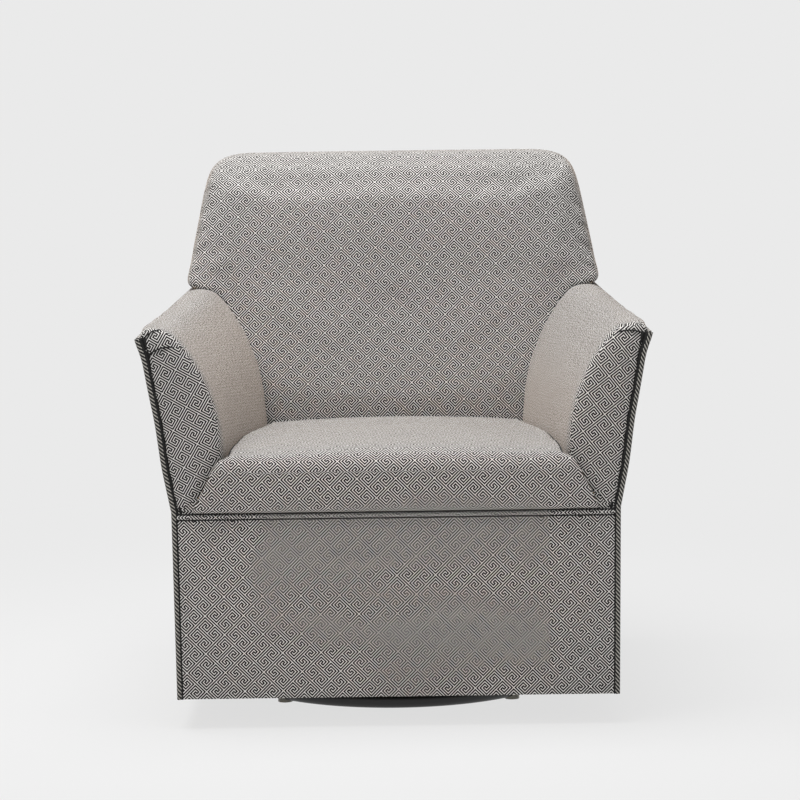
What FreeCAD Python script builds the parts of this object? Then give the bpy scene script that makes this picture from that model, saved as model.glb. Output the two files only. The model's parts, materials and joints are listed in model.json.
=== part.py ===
# Upholstered swivel rocker chair, in millimetres.
# Z is up, the front faces -Y, and the swivel axis is the Z axis through the floor point (0, 0, 0).
# Left and right are the sitter's, so left is +X.
# A round steel ring stands on the floor. A ball race on it turns a steel bed about Z, and the
# chair body hangs on the bed by a cross shaft, so that it rocks on four coil springs.

import FreeCAD
import Part
import Sketcher

import math
import os

V = FreeCAD.Vector

doc = FreeCAD.newDocument("swivel_rocker")
sheet = doc.addObject("Spreadsheet::Sheet", "Sizes")

SIZES = [
    # outer shape of the chair body
    ("front_reach", 390, "front faces ahead of the swivel axis"),
    ("back_foot_reach", 330, "outside back behind the axis, at the hem"),
    ("back_top_reach", 400.3, "outside back behind the axis, at the top"),
    ("chair_height", 870, "floor to top of back"),
    ("hem_height", 48, "floor to hem"),
    ("waist_height", 336, "floor to the welt under the seat front"),
    ("hem_half", 345, "half width at the hem"),
    ("waist_half", 348, "half width at the waist"),
    ("cover_wall", 6, "outside panels: fabric, wadding and board"),
    ("welt_radius", 4, "covered cord in the seams"),
    # arms
    ("arm_front_half", 400, "half width over the arms, in front"),
    ("arm_front_height", 609, "floor to the arm's outer edge, in front"),
    ("arm_front_top_in", 352, "inner end of the arm top, in front"),
    ("arm_front_seat_half", 265, "half width between the arms at seat level, in front"),
    ("arm_front_seat_height", 451, "seat edge on the arm, in front"),
    ("arm_front_foot_half", 321, "seat side at the waist, on the front face"),
    ("arm_rear_reach", 240, "rear arm section behind the axis"),
    ("arm_rear_half", 364, "half width over the arms, at that section"),
    ("arm_rear_height", 640, "floor to the arm's outer edge, at that section"),
    ("arm_rear_top_in", 309, "inner end of the arm top, at that section"),
    ("arm_rear_seat_half", 210, "half width between the arms, at that section"),
    ("arm_rear_seat_height", 417, "seat edge on the arm, at that section"),
    ("arm_top_rise", 27, "arm top above its outer edge, in front"),
    ("arm_top_rear_rise", 12, "arm top above its outer edge, at the rear section"),
    ("arm_top_round", 13, "width of the rounded outer edge of the arm top"),
    ("arm_inner_crown", 20, "bulge of the inside arm"),
    ("arm_top_crown", 3, "bulge of the arm top"),
    # seat and back pads
    ("seat_bulge", 12, "seat front ahead of the front faces"),
    ("seat_edge_height", 438, "floor to the seat's side edge, in front"),
    ("seat_rear_edge_height", 420, "floor to the seat's side edge, at the back"),
    ("seat_crown", 8, "crown of the seat across its width"),
    ("back_seat_reach", 160, "inside back behind the axis, at the seat"),
    ("back_lean_height", 425, "floor to where the inside back starts to lean"),
    ("back_shoulder_half", 368, "half width of the back just above the arms"),
    ("back_corner_half", 331, "half width of the back below its top corners"),
    ("back_corner_height", 822, "floor to the start of the top corners"),
    ("back_face_top_reach", 286, "inside back behind the axis, below the top roll"),
    ("back_crown", 14, "crown of the inside back across its width"),
    ("back_foam", 72, "foam of the inside back"),
    ("arm_foam_half", 300, "inner wall of the hollow in the arm pads"),
    # wooden frame
    ("board", 23, "thickness of the boards"),
    ("post_depth", 28, "front posts along Y"),
    ("post_half", 304, "inner side of the front posts"),
    ("base_board_foot", 54, "floor to the base boards"),
    ("slat_height", 176, "floor to the slats on the base boards"),
    ("slat_wall", 24, "thickness of the slats"),
    ("slat_width", 64, "slats along Y"),
    ("seat_board_foot", 262, "floor to the seat boards"),
    ("seat_board_top", 330, "floor to the top of the seat boards"),
    ("back_post_in", 285, "inner side of the back posts"),
    ("back_post_out", 315, "outer side of the back posts"),
    ("back_post_depth", 36, "back posts along Y"),
    ("back_board_width", 48, "boards across the back, upright"),
    ("spring_board_reach", 200, "rear spring board behind the axis"),
    ("deck_wall", 5, "burlap and felt over the seat springs"),
    # mechanism
    ("ring_reach", 262, "radius of the base ring's centre line"),
    ("ring_tube", 12.5, "radius of the ring's tube"),
    ("glide_foot", 3, "glides below the ring"),
    ("glide_radius", 12, "radius of the glides"),
    ("spider_wall", 4, "thickness of the spider"),
    ("spider_half", 25, "half width of the spider's arms"),
    ("race_radius", 90, "radius of the bearing plates"),
    ("race_wall", 3, "thickness of the bearing plates"),
    ("race_gap", 5, "gap between the bearing plates"),
    ("ball_radius", 4, "radius of the balls"),
    ("ball_circle", 70, "radius of the ball circle"),
    ("ball_count", 12, "number of balls"),
    ("cage_wall", 2, "thickness of the ball cage"),
    ("king_radius", 8, "radius of the king bolt"),
    ("bed_wall", 4, "thickness of the bed"),
    ("bed_bolt_half", 32, "bolts through the bed, beside the middle"),
    ("bed_half", 100, "half width of the bed over its walls"),
    ("bed_reach", 152, "bed ahead of and behind the axis"),
    ("bed_wall_height", 30, "height of the bed's low walls"),
    ("pivot_height", 118, "floor to the rocking axis"),
    ("shaft_radius", 8, "radius of the cross shaft"),
    ("stop_drop", 45, "stop rod below the cross shaft"),
    ("stop_radius", 5, "radius of the stop rod"),
    ("stop_travel", 5.1, "free way of the stop rod each way"),
    ("hanger_wall", 4, "thickness of the hanger plates"),
    ("hanger_gap", 4.5, "hanger plates outside the bed"),
    ("spring_half", 60, "springs beside the middle"),
    ("spring_reach", 120, "springs ahead of and behind the axis"),
    ("spring_radius", 22, "mean radius of the coils"),
    ("spring_wire", 2.5, "radius of the spring wire"),
    ("spring_turns", 4, "turns of each coil"),
    ("spring_cup_radius", 30, "radius of the spring cups"),
    ("bolt_radius", 4, "radius of the small bolts"),
    ("running_fit", 0.05, "radial clearance of turning fits"),
    ("free_fit", 0.4, "clearance between pads and boards"),
]


class Size:
    """A number together with the sheet expression that gives it."""

    def __init__(self, value, text):
        self.value = float(value)
        self.text = text

    def __add__(self, other):
        other = as_size(other)
        return Size(self.value + other.value, f"({self.text} + {other.text})")

    def __sub__(self, other):
        other = as_size(other)
        return Size(self.value - other.value, f"({self.text} - {other.text})")

    def __mul__(self, other):
        other = as_size(other)
        return Size(self.value * other.value, f"({self.text} * {other.text})")

    def __truediv__(self, other):
        other = as_size(other)
        return Size(self.value / other.value, f"({self.text} / {other.text})")

    def __radd__(self, other):
        return as_size(other) + self

    def __rsub__(self, other):
        return as_size(other) - self

    def __rmul__(self, other):
        return as_size(other) * self

    def __neg__(self):
        return Size(-self.value, f"(-1 * {self.text})")


def as_size(number):
    """A plain number as a Size."""
    if isinstance(number, Size):
        return number
    return Size(number, f"({number})")


def fill_sheet():
    """Write the driving dimensions into the sheet and return them by name."""
    found = {}
    for row, (name, number, meaning) in enumerate(SIZES, start=1):
        sheet.set(f"A{row}", name)
        sheet.set(f"B{row}", str(number))
        sheet.set(f"C{row}", meaning)
        sheet.setAlias(f"B{row}", name)
        found[name] = Size(number, f"Sizes.{name}")
    doc.recompute()
    return found


class Named:
    """The driving dimensions as attributes."""

    def __init__(self, found):
        self.__dict__.update(found)


S = Named(fill_sheet())
nodes = {}


# Tools that draw sketches and features from the named sizes.

def keep(item, name):
    """Give an object its label and list it as a sub-part."""
    item.Label = name
    nodes[name] = item
    return item


def new_body(name):
    """An empty body that will be the named sub-part."""
    return keep(doc.addObject("PartDesign::Body", name), name)


def origin_part(body, role):
    """The body's own origin plane or axis with the given role."""
    return next(item for item in body.Origin.OriginFeatures if item.Role == role)


def new_sketch(body, plane, offset):
    """A sketch parallel to one of the body's planes; offset is the world coordinate it lies at."""
    sketch = body.newObject("Sketcher::SketchObject", body.Name + "_sketch")
    sketch.AttachmentSupport = [(origin_part(body, plane), "")]
    sketch.MapMode = "FlatFace"
    along = -as_size(offset) if plane == "XZ_Plane" else as_size(offset)
    sketch.AttachmentOffset = FreeCAD.Placement(V(0, 0, along.value), FreeCAD.Rotation())
    sketch.setExpression("AttachmentOffset.Base.z", along.text)
    return sketch


def fix_point(sketch, geometry, end, across, up):
    """Hold one point of a sketch at two named distances from its origin."""
    row = sketch.addConstraint(Sketcher.Constraint("DistanceX", -1, 1, geometry, end, across.value))
    sketch.setExpression(f"Constraints[{row}]", across.text)
    row = sketch.addConstraint(Sketcher.Constraint("DistanceY", -1, 1, geometry, end, up.value))
    sketch.setExpression(f"Constraints[{row}]", up.text)


def arc_radius(start, end, bulge):
    """Radius of an arc from its two ends and its bulge."""
    across = end[0] - start[0]
    up = end[1] - start[1]
    return (across * across + up * up + 4 * bulge * bulge) / (8 * bulge)


def draw_outline(sketch, corners):
    """Draw a closed outline. A third value in a corner is the bulge of the arc that follows it."""
    first = sketch.GeometryCount
    count = len(corners)
    places = [(as_size(corner[0]), as_size(corner[1])) for corner in corners]
    bulges = [corner[2] if len(corner) > 2 else None for corner in corners]
    for index in range(count):
        start = V(places[index][0].value, places[index][1].value, 0)
        after = places[(index + 1) % count]
        end = V(after[0].value, after[1].value, 0)
        if bulges[index] is None:
            sketch.addGeometry(Part.LineSegment(start, end), False)
        else:
            chord = end - start
            side = V(chord.y, -chord.x, 0).normalize()
            middle = (start + end) * 0.5 + side * bulges[index].value
            ends = (start, end) if bulges[index].value > 0 else (end, start)
            sketch.addGeometry(Part.Arc(ends[0], middle, ends[1]), False)
    for index in range(count):
        here = first + index
        following = first + (index + 1) % count
        starts_here = vertex_at(sketch, here, places[index])
        ends_here = 3 - starts_here
        starts_next = vertex_at(sketch, following, places[(index + 1) % count])
        sketch.addConstraint(Sketcher.Constraint("Coincident", here, ends_here, following, starts_next))
        fix_point(sketch, here, starts_here, *places[index])
        if bulges[index] is not None:
            radius = arc_radius(places[index], places[(index + 1) % count], bulges[index])
            row = sketch.addConstraint(Sketcher.Constraint("Radius", here, abs(radius.value)))
            sketch.setExpression(f"Constraints[{row}]", f"abs({radius.text})")
    return sketch


def vertex_at(sketch, geometry, place):
    """Which end of a line or arc lies at a place: 1 for its start, 2 for its end."""
    start = sketch.Geometry[geometry].StartPoint
    near = abs(start.x - place[0].value) < 1e-6 and abs(start.y - place[1].value) < 1e-6
    return 1 if near else 2


def draw_circle(sketch, across, up, radius):
    """Draw a circle held by its centre and radius."""
    across, up, radius = as_size(across), as_size(up), as_size(radius)
    circle = Part.Circle(V(across.value, up.value, 0), V(0, 0, 1), radius.value)
    index = sketch.addGeometry(circle, False)
    fix_point(sketch, index, 3, across, up)
    row = sketch.addConstraint(Sketcher.Constraint("Radius", index, radius.value))
    sketch.setExpression(f"Constraints[{row}]", radius.text)


def extrude(body, plane, low, high, outlines=(), circles=(), cut=False):
    """Pad or pocket outlines and circles from one world coordinate to another."""
    low, high = as_size(low), as_size(high)
    backwards = plane == "XZ_Plane"
    base = high if backwards != cut else low
    sketch = new_sketch(body, plane, base)
    for corners in outlines:
        draw_outline(sketch, corners)
    for circle in circles:
        draw_circle(sketch, *circle)
    before = body.Shape.Volume if cut else 0
    kind = "PartDesign::Pocket" if cut else "PartDesign::Pad"
    feature = body.newObject(kind, body.Name + ("_cut" if cut else "_pad"))
    feature.Profile = sketch
    feature.setExpression("Length", (high - low).text)
    sketch.Visibility = False
    doc.recompute()
    if cut and not body.Shape.Volume < before - 1e-3:
        raise RuntimeError(f"a cut in {body.Name} removes nothing")
    return feature


def solid(name, plane, low, high, outlines=(), circles=()):
    """A sub-part made by one pad."""
    body = new_body(name)
    extrude(body, plane, low, high, outlines, circles)
    return body


def loft(body, plane, sections, cut=False):
    """Loft a list of (world coordinate, corners) with straight rulings."""
    sketches = [draw_outline(new_sketch(body, plane, place), corners) for place, corners in sections]
    kind = "PartDesign::SubtractiveLoft" if cut else "PartDesign::AdditiveLoft"
    feature = body.newObject(kind, body.Name + ("_hollow" if cut else "_loft"))
    feature.Profile = sketches[0]
    feature.Sections = sketches[1:]
    feature.Ruled = True
    for sketch in sketches:
        sketch.Visibility = False
    doc.recompute()
    return feature


def revolve(name, corners, axis="Z_Axis"):
    """A sub-part turned about the Z or X axis of its body from a half section in the XZ plane."""
    body = new_body(name)
    sketch = draw_outline(new_sketch(body, "XZ_Plane", 0), corners)
    feature = body.newObject("PartDesign::Revolution", name + "_turn")
    feature.Profile = sketch
    feature.ReferenceAxis = (origin_part(body, axis), [""])
    feature.Angle = 360
    sketch.Visibility = False
    return body


def place_body(body, x=0, y=0, z=0):
    """Move a whole sub-part by named distances."""
    for letter, distance in (("x", x), ("y", y), ("z", z)):
        body.setExpression(f"Placement.Base.{letter}", as_size(distance).text)
    return body


def box_outline(x0, x1, y0, y1):
    """The four corners of a rectangle."""
    return [(x0, y0), (x1, y0), (x1, y1), (x0, y1)]


def mirrored(corners, side):
    """Corners on one side of the chair; side is 1 for left (+X) and -1 for right."""
    turned = []
    for corner in corners:
        across = side * as_size(corner[0])
        if len(corner) > 2:
            turned.append((across, corner[1], side * as_size(corner[2])))
        else:
            turned.append((across, corner[1]))
    return turned


SIDES = (("left", 1), ("right", -1))

# Lines that several sub-parts share.

front_face = -S.front_reach
front_inside = front_face + S.cover_wall
back_slope = (S.back_top_reach - S.back_foot_reach) / (S.chair_height - S.hem_height)


def back_plane(height):
    """Outside back behind the axis, at a height."""
    return S.back_foot_reach + (as_size(height) - S.hem_height) * back_slope


def back_inside(height):
    """Inner face of the outside back, at a height."""
    return back_plane(height) - S.cover_wall


def along(start, end, share):
    """A value part of the way between two others."""
    return start + (end - start) * share


def inside_back(height):
    """Front face of the inside back, at a height above the seat."""
    rise = S.back_corner_height - S.back_lean_height
    run = S.back_face_top_reach - S.back_seat_reach
    return S.back_seat_reach + (as_size(height) - S.back_lean_height) * run / rise


# Base on the floor.

ring_height = S.glide_foot + S.ring_tube
ring_top = S.glide_foot + 2 * S.ring_tube
spider_top = ring_top + S.spider_wall
lower_race_top = spider_top + S.race_wall
upper_race_foot = lower_race_top + S.race_gap
upper_race_top = upper_race_foot + S.race_wall
ball_height = lower_race_top + S.race_gap / 2
groove_radius = S.ball_radius + S.running_fit
bed_top = upper_race_top + S.bed_wall
FOUR = [(1, 1), (-1, 1), (-1, -1), (1, -1)]
CROSS = [(1, 0), (0, 1), (-1, 0), (0, -1)]
RING_BOLT_REACH = S.ring_reach


def make_base_ring():
    """The round steel tube that stands on the floor, with four holes for the spider bolts."""
    body = new_body("base_ring")
    sketch = new_sketch(body, "XZ_Plane", 0)
    draw_circle(sketch, S.ring_reach, ring_height, S.ring_tube)
    ring = body.newObject("PartDesign::Revolution", "base_ring_turn")
    ring.Profile = sketch
    ring.ReferenceAxis = (origin_part(body, "Z_Axis"), [""])
    ring.Angle = 360
    doc.recompute()
    holes = [(x * S.ring_reach, y * S.ring_reach, S.bolt_radius + S.running_fit) for x, y in CROSS]
    extrude(body, "XY_Plane", ring_height - 4, ring_top + 1, circles=holes, cut=True)


def make_floor_glides():
    """Four nylon glides, saddled to the underside of the ring."""
    diagonal = S.ring_reach * math.sqrt(0.5)
    body = solid("floor_glides", "XY_Plane", 0, S.glide_foot + 5,
                 circles=[(x * diagonal, y * diagonal, S.glide_radius) for x, y in FOUR])
    sketch = new_sketch(body, "XZ_Plane", 0)
    draw_circle(sketch, S.ring_reach, ring_height, S.ring_tube)
    saddle = body.newObject("PartDesign::Groove", "floor_glides_saddle")
    saddle.Profile = sketch
    saddle.ReferenceAxis = (origin_part(body, "Z_Axis"), [""])
    saddle.Angle = 360


def make_spider():
    """The stamped steel cross that ties the ring to the bearing."""
    reach = S.ring_reach + S.ring_tube / 2
    half = S.spider_half
    body = solid("spider", "XY_Plane", ring_top, spider_top, [[
        (reach, -half), (reach, half), (half, half), (half, reach), (-half, reach), (-half, half),
        (-reach, half), (-reach, -half), (-half, -half), (-half, -reach), (half, -reach), (half, -half)]])
    holes = [(x * S.ring_reach, y * S.ring_reach, S.bolt_radius + S.running_fit) for x, y in CROSS]
    holes.append((0, 0, S.king_radius + S.running_fit))
    extrude(body, "XY_Plane", ring_top, spider_top, circles=holes, cut=True)
    edges = [f"Edge{number}" for number, edge in enumerate(body.Shape.Edges, start=1)
             if is_inner_corner(edge)]
    plate = body.Tip
    fillet = body.newObject("PartDesign::Fillet", "spider_fillet")
    fillet.Base = (plate, edges)
    fillet.setExpression("Radius", (S.race_radius - S.spider_half * 1.6).text)


def is_inner_corner(edge):
    """Whether an edge is one of the spider's four upright inner corners."""
    if len(edge.Vertexes) < 2:
        return False
    start, end = edge.Vertexes[0].Point, edge.Vertexes[1].Point
    upright = abs(start.x - end.x) < 1e-6 and abs(start.y - end.y) < 1e-6
    half = S.spider_half.value
    return upright and abs(abs(start.x) - half) < 1e-6 and abs(abs(start.y) - half) < 1e-6


def make_bolts(name, places, seat, head_radius, head, low):
    """Bolts of one kind as a group: heads on a seat, with shanks down to a lower height."""
    body = solid(name, "XY_Plane", low, seat, circles=[(x, y, S.bolt_radius) for x, y in places])
    extrude(body, "XY_Plane", seat, as_size(seat) + head,
            circles=[(x, y, head_radius) for x, y in places])
    return body


def make_race(name, low, high):
    """A bearing plate with a groove for the balls on the side that faces them."""
    body = solid(name, "XY_Plane", low, high,
                 circles=[(0, 0, S.race_radius), (0, 0, S.king_radius + S.running_fit)])
    sketch = new_sketch(body, "XZ_Plane", 0)
    draw_circle(sketch, S.ball_circle, ball_height, groove_radius)
    groove = body.newObject("PartDesign::Groove", name + "_groove")
    groove.Profile = sketch
    groove.ReferenceAxis = (origin_part(body, "Z_Axis"), [""])
    groove.Angle = 360
    return body


def ball_places():
    """Centres of the balls, as shares of the ball circle."""
    count = int(S.ball_count.value)
    return [(math.cos(2 * math.pi * k / count), math.sin(2 * math.pi * k / count)) for k in range(count)]


def make_ball_cage():
    """The nylon ring that spaces the balls."""
    cage_half = S.ball_radius + 5
    low = ball_height - S.cage_wall / 2
    body = solid("ball_cage", "XY_Plane", low, low + S.cage_wall,
                 circles=[(0, 0, S.ball_circle + cage_half), (0, 0, S.ball_circle - cage_half)])
    extrude(body, "XY_Plane", low, low + S.cage_wall,
            circles=[(x * S.ball_circle, y * S.ball_circle, groove_radius) for x, y in ball_places()],
            cut=True)


def make_bearing_balls():
    """The steel balls as one group."""
    balls = []
    for number, (x, y) in enumerate(ball_places()):
        ball = doc.addObject("Part::Sphere", f"ball_{number}")
        ball.setExpression("Radius", S.ball_radius.text)
        for letter, distance in (("x", x * S.ball_circle), ("y", y * S.ball_circle), ("z", ball_height)):
            ball.setExpression(f"Placement.Base.{letter}", distance.text)
        balls.append(ball)
    group = doc.addObject("Part::Compound", "bearing_balls")
    group.Links = balls
    keep(group, "bearing_balls")


def make_king_bolt():
    """The centre bolt, its head under the spider."""
    head = 10
    body = solid("king_bolt", "XY_Plane", ring_top - head, ring_top, circles=[(0, 0, S.king_radius * 1.6)])
    extrude(body, "XY_Plane", ring_top, bed_top + 14, circles=[(0, 0, S.king_radius)])


def make_king_nut():
    """Washer and lock nut that hold the bed down, as one piece with a washer face."""
    low = bed_top + S.running_fit * 2
    body = solid("king_nut", "XY_Plane", low, low + 2,
                 circles=[(0, 0, S.king_radius * 2), (0, 0, S.king_radius)])
    extrude(body, "XY_Plane", low + 2, low + 12,
            outlines=[hexagon(S.king_radius * 1.7)], circles=[(0, 0, S.king_radius)])


def hexagon(radius):
    """Corners of a hexagon about the origin."""
    return [(radius * math.cos(math.pi * k / 3), radius * math.sin(math.pi * k / 3)) for k in range(6)]


# Bed that turns on the race.

hanger_in = S.bed_half + S.hanger_gap
hanger_out = hanger_in + S.hanger_wall
hanger_top = S.slat_height - S.bed_wall
pin_end = hanger_out + 7
stop_height = S.pivot_height - S.stop_drop
spring_foot = bed_top + 3
spring_head = hanger_top - 3
low_wall_top = upper_race_top + S.bed_wall_height
SPRINGS = [(x * S.spring_half, y * S.spring_reach) for x, y in FOUR]
BED_BOLTS = [(x * S.bed_bolt_half, y * S.bed_bolt_half) for x, y in FOUR]


def make_rocker_bed():
    """The folded steel bed: a plate with two walls that rise to ears for the cross shaft."""
    ear = S.shaft_radius * 2.5
    body = new_body("rocker_bed")
    half, inner = S.bed_half, S.bed_half - S.bed_wall
    extrude(body, "XZ_Plane", -S.bed_reach, S.bed_reach, [[
        (-half, upper_race_top), (half, upper_race_top), (half, S.pivot_height + ear),
        (inner, S.pivot_height + ear), (inner, bed_top), (-inner, bed_top),
        (-inner, S.pivot_height + ear), (-half, S.pivot_height + ear)]])
    top = S.pivot_height + ear + 1
    for way in (1, -1):
        extrude(body, "YZ_Plane", -half - 1, half + 1, cut=True, outlines=[[
            (way * ear * 0.8, top), (way * ear, S.pivot_height), (way * ear * 2, low_wall_top),
            (way * (S.bed_reach + 1), low_wall_top), (way * (S.bed_reach + 1), top)]])
    extrude(body, "YZ_Plane", -half, half, cut=True, circles=[
        (0, S.pivot_height, S.shaft_radius + S.running_fit), (0, stop_height, S.stop_radius + S.running_fit)])
    holes = [(0, 0, S.king_radius + S.running_fit)]
    holes += [(x, y, S.bolt_radius + S.running_fit) for x, y in BED_BOLTS]
    extrude(body, "XY_Plane", upper_race_top, bed_top, circles=holes, cut=True)


def make_pin(name, height, radius):
    """A cross pin along X with a groove for a clip near each end."""
    groove_in, groove_out, groove = hanger_out + 3.4, hanger_out + 4.8, radius - 1
    body = revolve(name, [
        (-pin_end, 0), (-pin_end, radius), (-groove_out, radius), (-groove_out, groove),
        (-groove_in, groove), (-groove_in, radius), (groove_in, radius), (groove_in, groove),
        (groove_out, groove), (groove_out, radius), (pin_end, radius), (pin_end, 0)], axis="X_Axis")
    place_body(body, z=height)


def make_clips():
    """The retaining rings of both cross pins, as one group."""
    low, high = hanger_out + 3.5, hanger_out + 4.7
    body = new_body("pin_clips")
    for start, end in ((low, high), (-high, -low)):
        circles = []
        for height, radius in ((S.pivot_height, S.shaft_radius), (stop_height, S.stop_radius)):
            circles.append((0, height, radius + 4))
            circles.append((0, height, radius - 1 + S.running_fit))
        extrude(body, "YZ_Plane", start, end, circles=circles)


def make_spring_cups(name, seat, way):
    """Four pressed cups with a raised spigot that centres the coils; way is 1 for up."""
    body = new_body(name)
    seat = as_size(seat)
    rim, spigot = seat + 3 * way, seat + 9 * way
    ends = (seat, rim) if way > 0 else (rim, seat)
    extrude(body, "XY_Plane", *ends, circles=[(x, y, S.spring_cup_radius) for x, y in SPRINGS])
    ends = (rim, spigot) if way > 0 else (spigot, rim)
    inner = S.spring_radius - S.spring_wire - 1
    extrude(body, "XY_Plane", *ends, circles=[(x, y, inner) for x, y in SPRINGS])


def coil_wire(radius, low, high, turns):
    """The centre line of a coil spring, as two arcs in each half turn."""
    pieces = int(turns * 4)

    def point(share):
        angle = 2 * math.pi * turns * share
        return V(radius * math.cos(angle), radius * math.sin(angle), low + (high - low) * share)

    arcs = [Part.Arc(point(k / pieces), point((k + 0.5) / pieces), point((k + 1) / pieces))
            for k in range(pieces)]
    return Part.Wire([arc.toShape() for arc in arcs])


def tube_along(wire, radius):
    """A round tube along a wire, with closed ends."""
    first = wire.OrderedEdges[0]
    start = first.firstVertex(True).Point
    ring = Part.Circle(start, first.tangentAt(first.FirstParameter), radius)
    pipe = Part.BRepOffsetAPI.MakePipeShell(wire)
    pipe.add(Part.Wire([ring.toShape()]))
    pipe.build()
    pipe.makeSolid()
    return pipe.shape()


def make_springs():
    """The four coil springs, each one unbroken wire."""
    wire_radius = S.spring_wire.value
    low = spring_foot.value + wire_radius
    high = spring_head.value - wire_radius
    turns = S.spring_turns.value
    path = coil_wire(S.spring_radius.value, low, high, turns)
    print("coil self gap", round((high - low) / turns - 2 * wire_radius, 2), "mm")
    for name, way in (("springs_front", -1), ("springs_rear", 1)):
        coils = []
        for x, y in SPRINGS:
            if y.value * way > 0:
                coil = doc.addObject("Part::Feature", "coil")
                coil.Shape = tube_along(path, wire_radius)
                coils.append(place_body(coil, x, y))
        pair = doc.addObject("Part::Compound", name)
        pair.Links = coils
        keep(pair, name)


# Hangers that carry the chair body on the cross shaft.

def make_hangers():
    """Two steel side plates with a bore for the shaft's bush and a slot for the stop rod."""
    boss = S.shaft_radius * 2.5
    shoulder = hanger_top - 22
    foot = stop_height - S.stop_radius - 8
    for word, side in SIDES:
        ends = (hanger_in, hanger_out) if side > 0 else (-hanger_out, -hanger_in)
        body = solid(f"hanger_plate_{word}", "YZ_Plane", *ends, outlines=[[
            (-S.bed_reach, hanger_top), (-S.bed_reach, shoulder), (-boss * 2, shoulder),
            (-boss, S.pivot_height), (-boss * 0.8, foot, boss * 0.2), (boss * 0.8, foot),
            (boss, S.pivot_height), (boss * 2, shoulder), (S.bed_reach, shoulder),
            (S.bed_reach, hanger_top)]])
        slot_half = S.stop_radius + 0.3
        slot_end = slot_half * 0.9
        extrude(body, "YZ_Plane", *ends, cut=True, circles=[
            (0, S.pivot_height, S.shaft_radius + 2.1)])
        extrude(body, "YZ_Plane", *ends, cut=True, outlines=[[
            (-S.stop_travel, stop_height - slot_half), (S.stop_travel, stop_height - slot_half, slot_end),
            (S.stop_travel, stop_height + slot_half), (-S.stop_travel, stop_height + slot_half, slot_end)]])


def make_bushes():
    """Two flanged nylon bushes between the shaft and the hangers."""
    bore, wall = S.shaft_radius + S.running_fit, S.shaft_radius + 2
    body = new_body("pivot_bushes")
    for side in (1, -1):
        spans = ((S.bed_half + 0.3, hanger_in, S.shaft_radius + 6), (hanger_in, hanger_out + 3, wall))
        for low, high, radius in spans:
            ends = (low, high) if side > 0 else (-high, -low)
            extrude(body, "YZ_Plane", *ends, circles=[(0, S.pivot_height, radius), (0, S.pivot_height, bore)])


MOUNT_BOLTS = [(x * 145, y * S.spring_reach) for x, y in FOUR]


def make_mount_bars():
    """Two steel bars welded across the hangers, which seat the springs and bolt to the slats."""
    half = S.slat_width / 2
    outlines = [box_outline(-170, 170, y * S.spring_reach - half, y * S.spring_reach + half) for y in (1, -1)]
    body = solid("mount_bars", "XY_Plane", hanger_top, S.slat_height, outlines)
    extrude(body, "XY_Plane", hanger_top, S.slat_height, cut=True,
            circles=[(x, y, S.bolt_radius + S.running_fit) for x, y in MOUNT_BOLTS])


def make_mount_bolts():
    """Four bolts from below through the bars and slats."""
    slat_top = S.slat_height + S.slat_wall
    body = solid("mount_bolts", "XY_Plane", hanger_top - 5, hanger_top, circles=[
        (x, y, S.bolt_radius * 2) for x, y in MOUNT_BOLTS])
    extrude(body, "XY_Plane", hanger_top, slat_top + 10, circles=[(x, y, S.bolt_radius) for x, y in MOUNT_BOLTS])
    solid("mount_nuts", "XY_Plane", slat_top, slat_top + 7, circles=[
        item for x, y in MOUNT_BOLTS for item in ((x, y, S.bolt_radius * 1.8), (x, y, S.bolt_radius))])


# Wooden frame of the chair body.

side_board_in = S.back_post_out
side_board_out = side_board_in + S.board
post_rear = front_inside + S.post_depth


def make_slats():
    """Two wooden slats across the base boards, above the mechanism."""
    half = S.slat_width / 2
    outlines = [box_outline(-side_board_out, side_board_out, y * S.spring_reach - half, y * S.spring_reach + half)
                for y in (1, -1)]
    body = solid("slats", "XY_Plane", S.slat_height, S.slat_height + S.slat_wall, outlines)
    extrude(body, "XY_Plane", S.slat_height, S.slat_height + S.slat_wall, cut=True, circles=[
        (x, y, S.bolt_radius + S.running_fit) for x, y in MOUNT_BOLTS])


def make_boards():
    """Base boards, seat boards and the rear spring board."""
    for word, side in SIDES:
        edge = mirrored(box_outline(side_board_in, side_board_out, 0, 1), side)
        left, right = sorted((edge[0][0], edge[1][0]), key=lambda size: size.value)
        rear = back_inside(S.base_board_foot)
        solid(f"base_board_{word}", "YZ_Plane", left, right, [[
            (post_rear, S.base_board_foot), (rear, S.base_board_foot),
            (back_inside(S.slat_height), S.slat_height), (post_rear, S.slat_height)]])
        solid(f"seat_board_{word}", "YZ_Plane", left, right, [[
            (post_rear, S.seat_board_foot), (back_inside(S.seat_board_foot), S.seat_board_foot),
            (back_inside(S.seat_board_top), S.seat_board_top), (post_rear, S.seat_board_top)]])
    front = (front_inside, front_inside + S.board)
    across = (-S.post_half, S.post_half)
    solid("base_board_front", "XZ_Plane", *front, [box_outline(*across, S.base_board_foot, S.slat_height)])
    solid("seat_board_front", "XZ_Plane", *front, [box_outline(*across, S.seat_board_foot, S.seat_board_top)])
    rear = back_inside(S.base_board_foot)
    solid("base_board_rear", "XZ_Plane", rear - S.board, rear, [
        box_outline(-S.back_post_in, S.back_post_in, S.base_board_foot, S.slat_height)])
    spring_end = S.spring_board_reach + S.board
    solid("spring_board", "XZ_Plane", S.spring_board_reach, spring_end, [
        box_outline(-side_board_in, side_board_in, S.seat_board_foot, S.seat_board_top)])


def cover_inside_front(height):
    """Inner face of the outside arm in front, at a height above the waist."""
    run = (S.arm_front_half - S.waist_half) / (S.arm_front_height - S.waist_height)
    return S.waist_half - S.cover_wall + (as_size(height) - S.waist_height) * run


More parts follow.
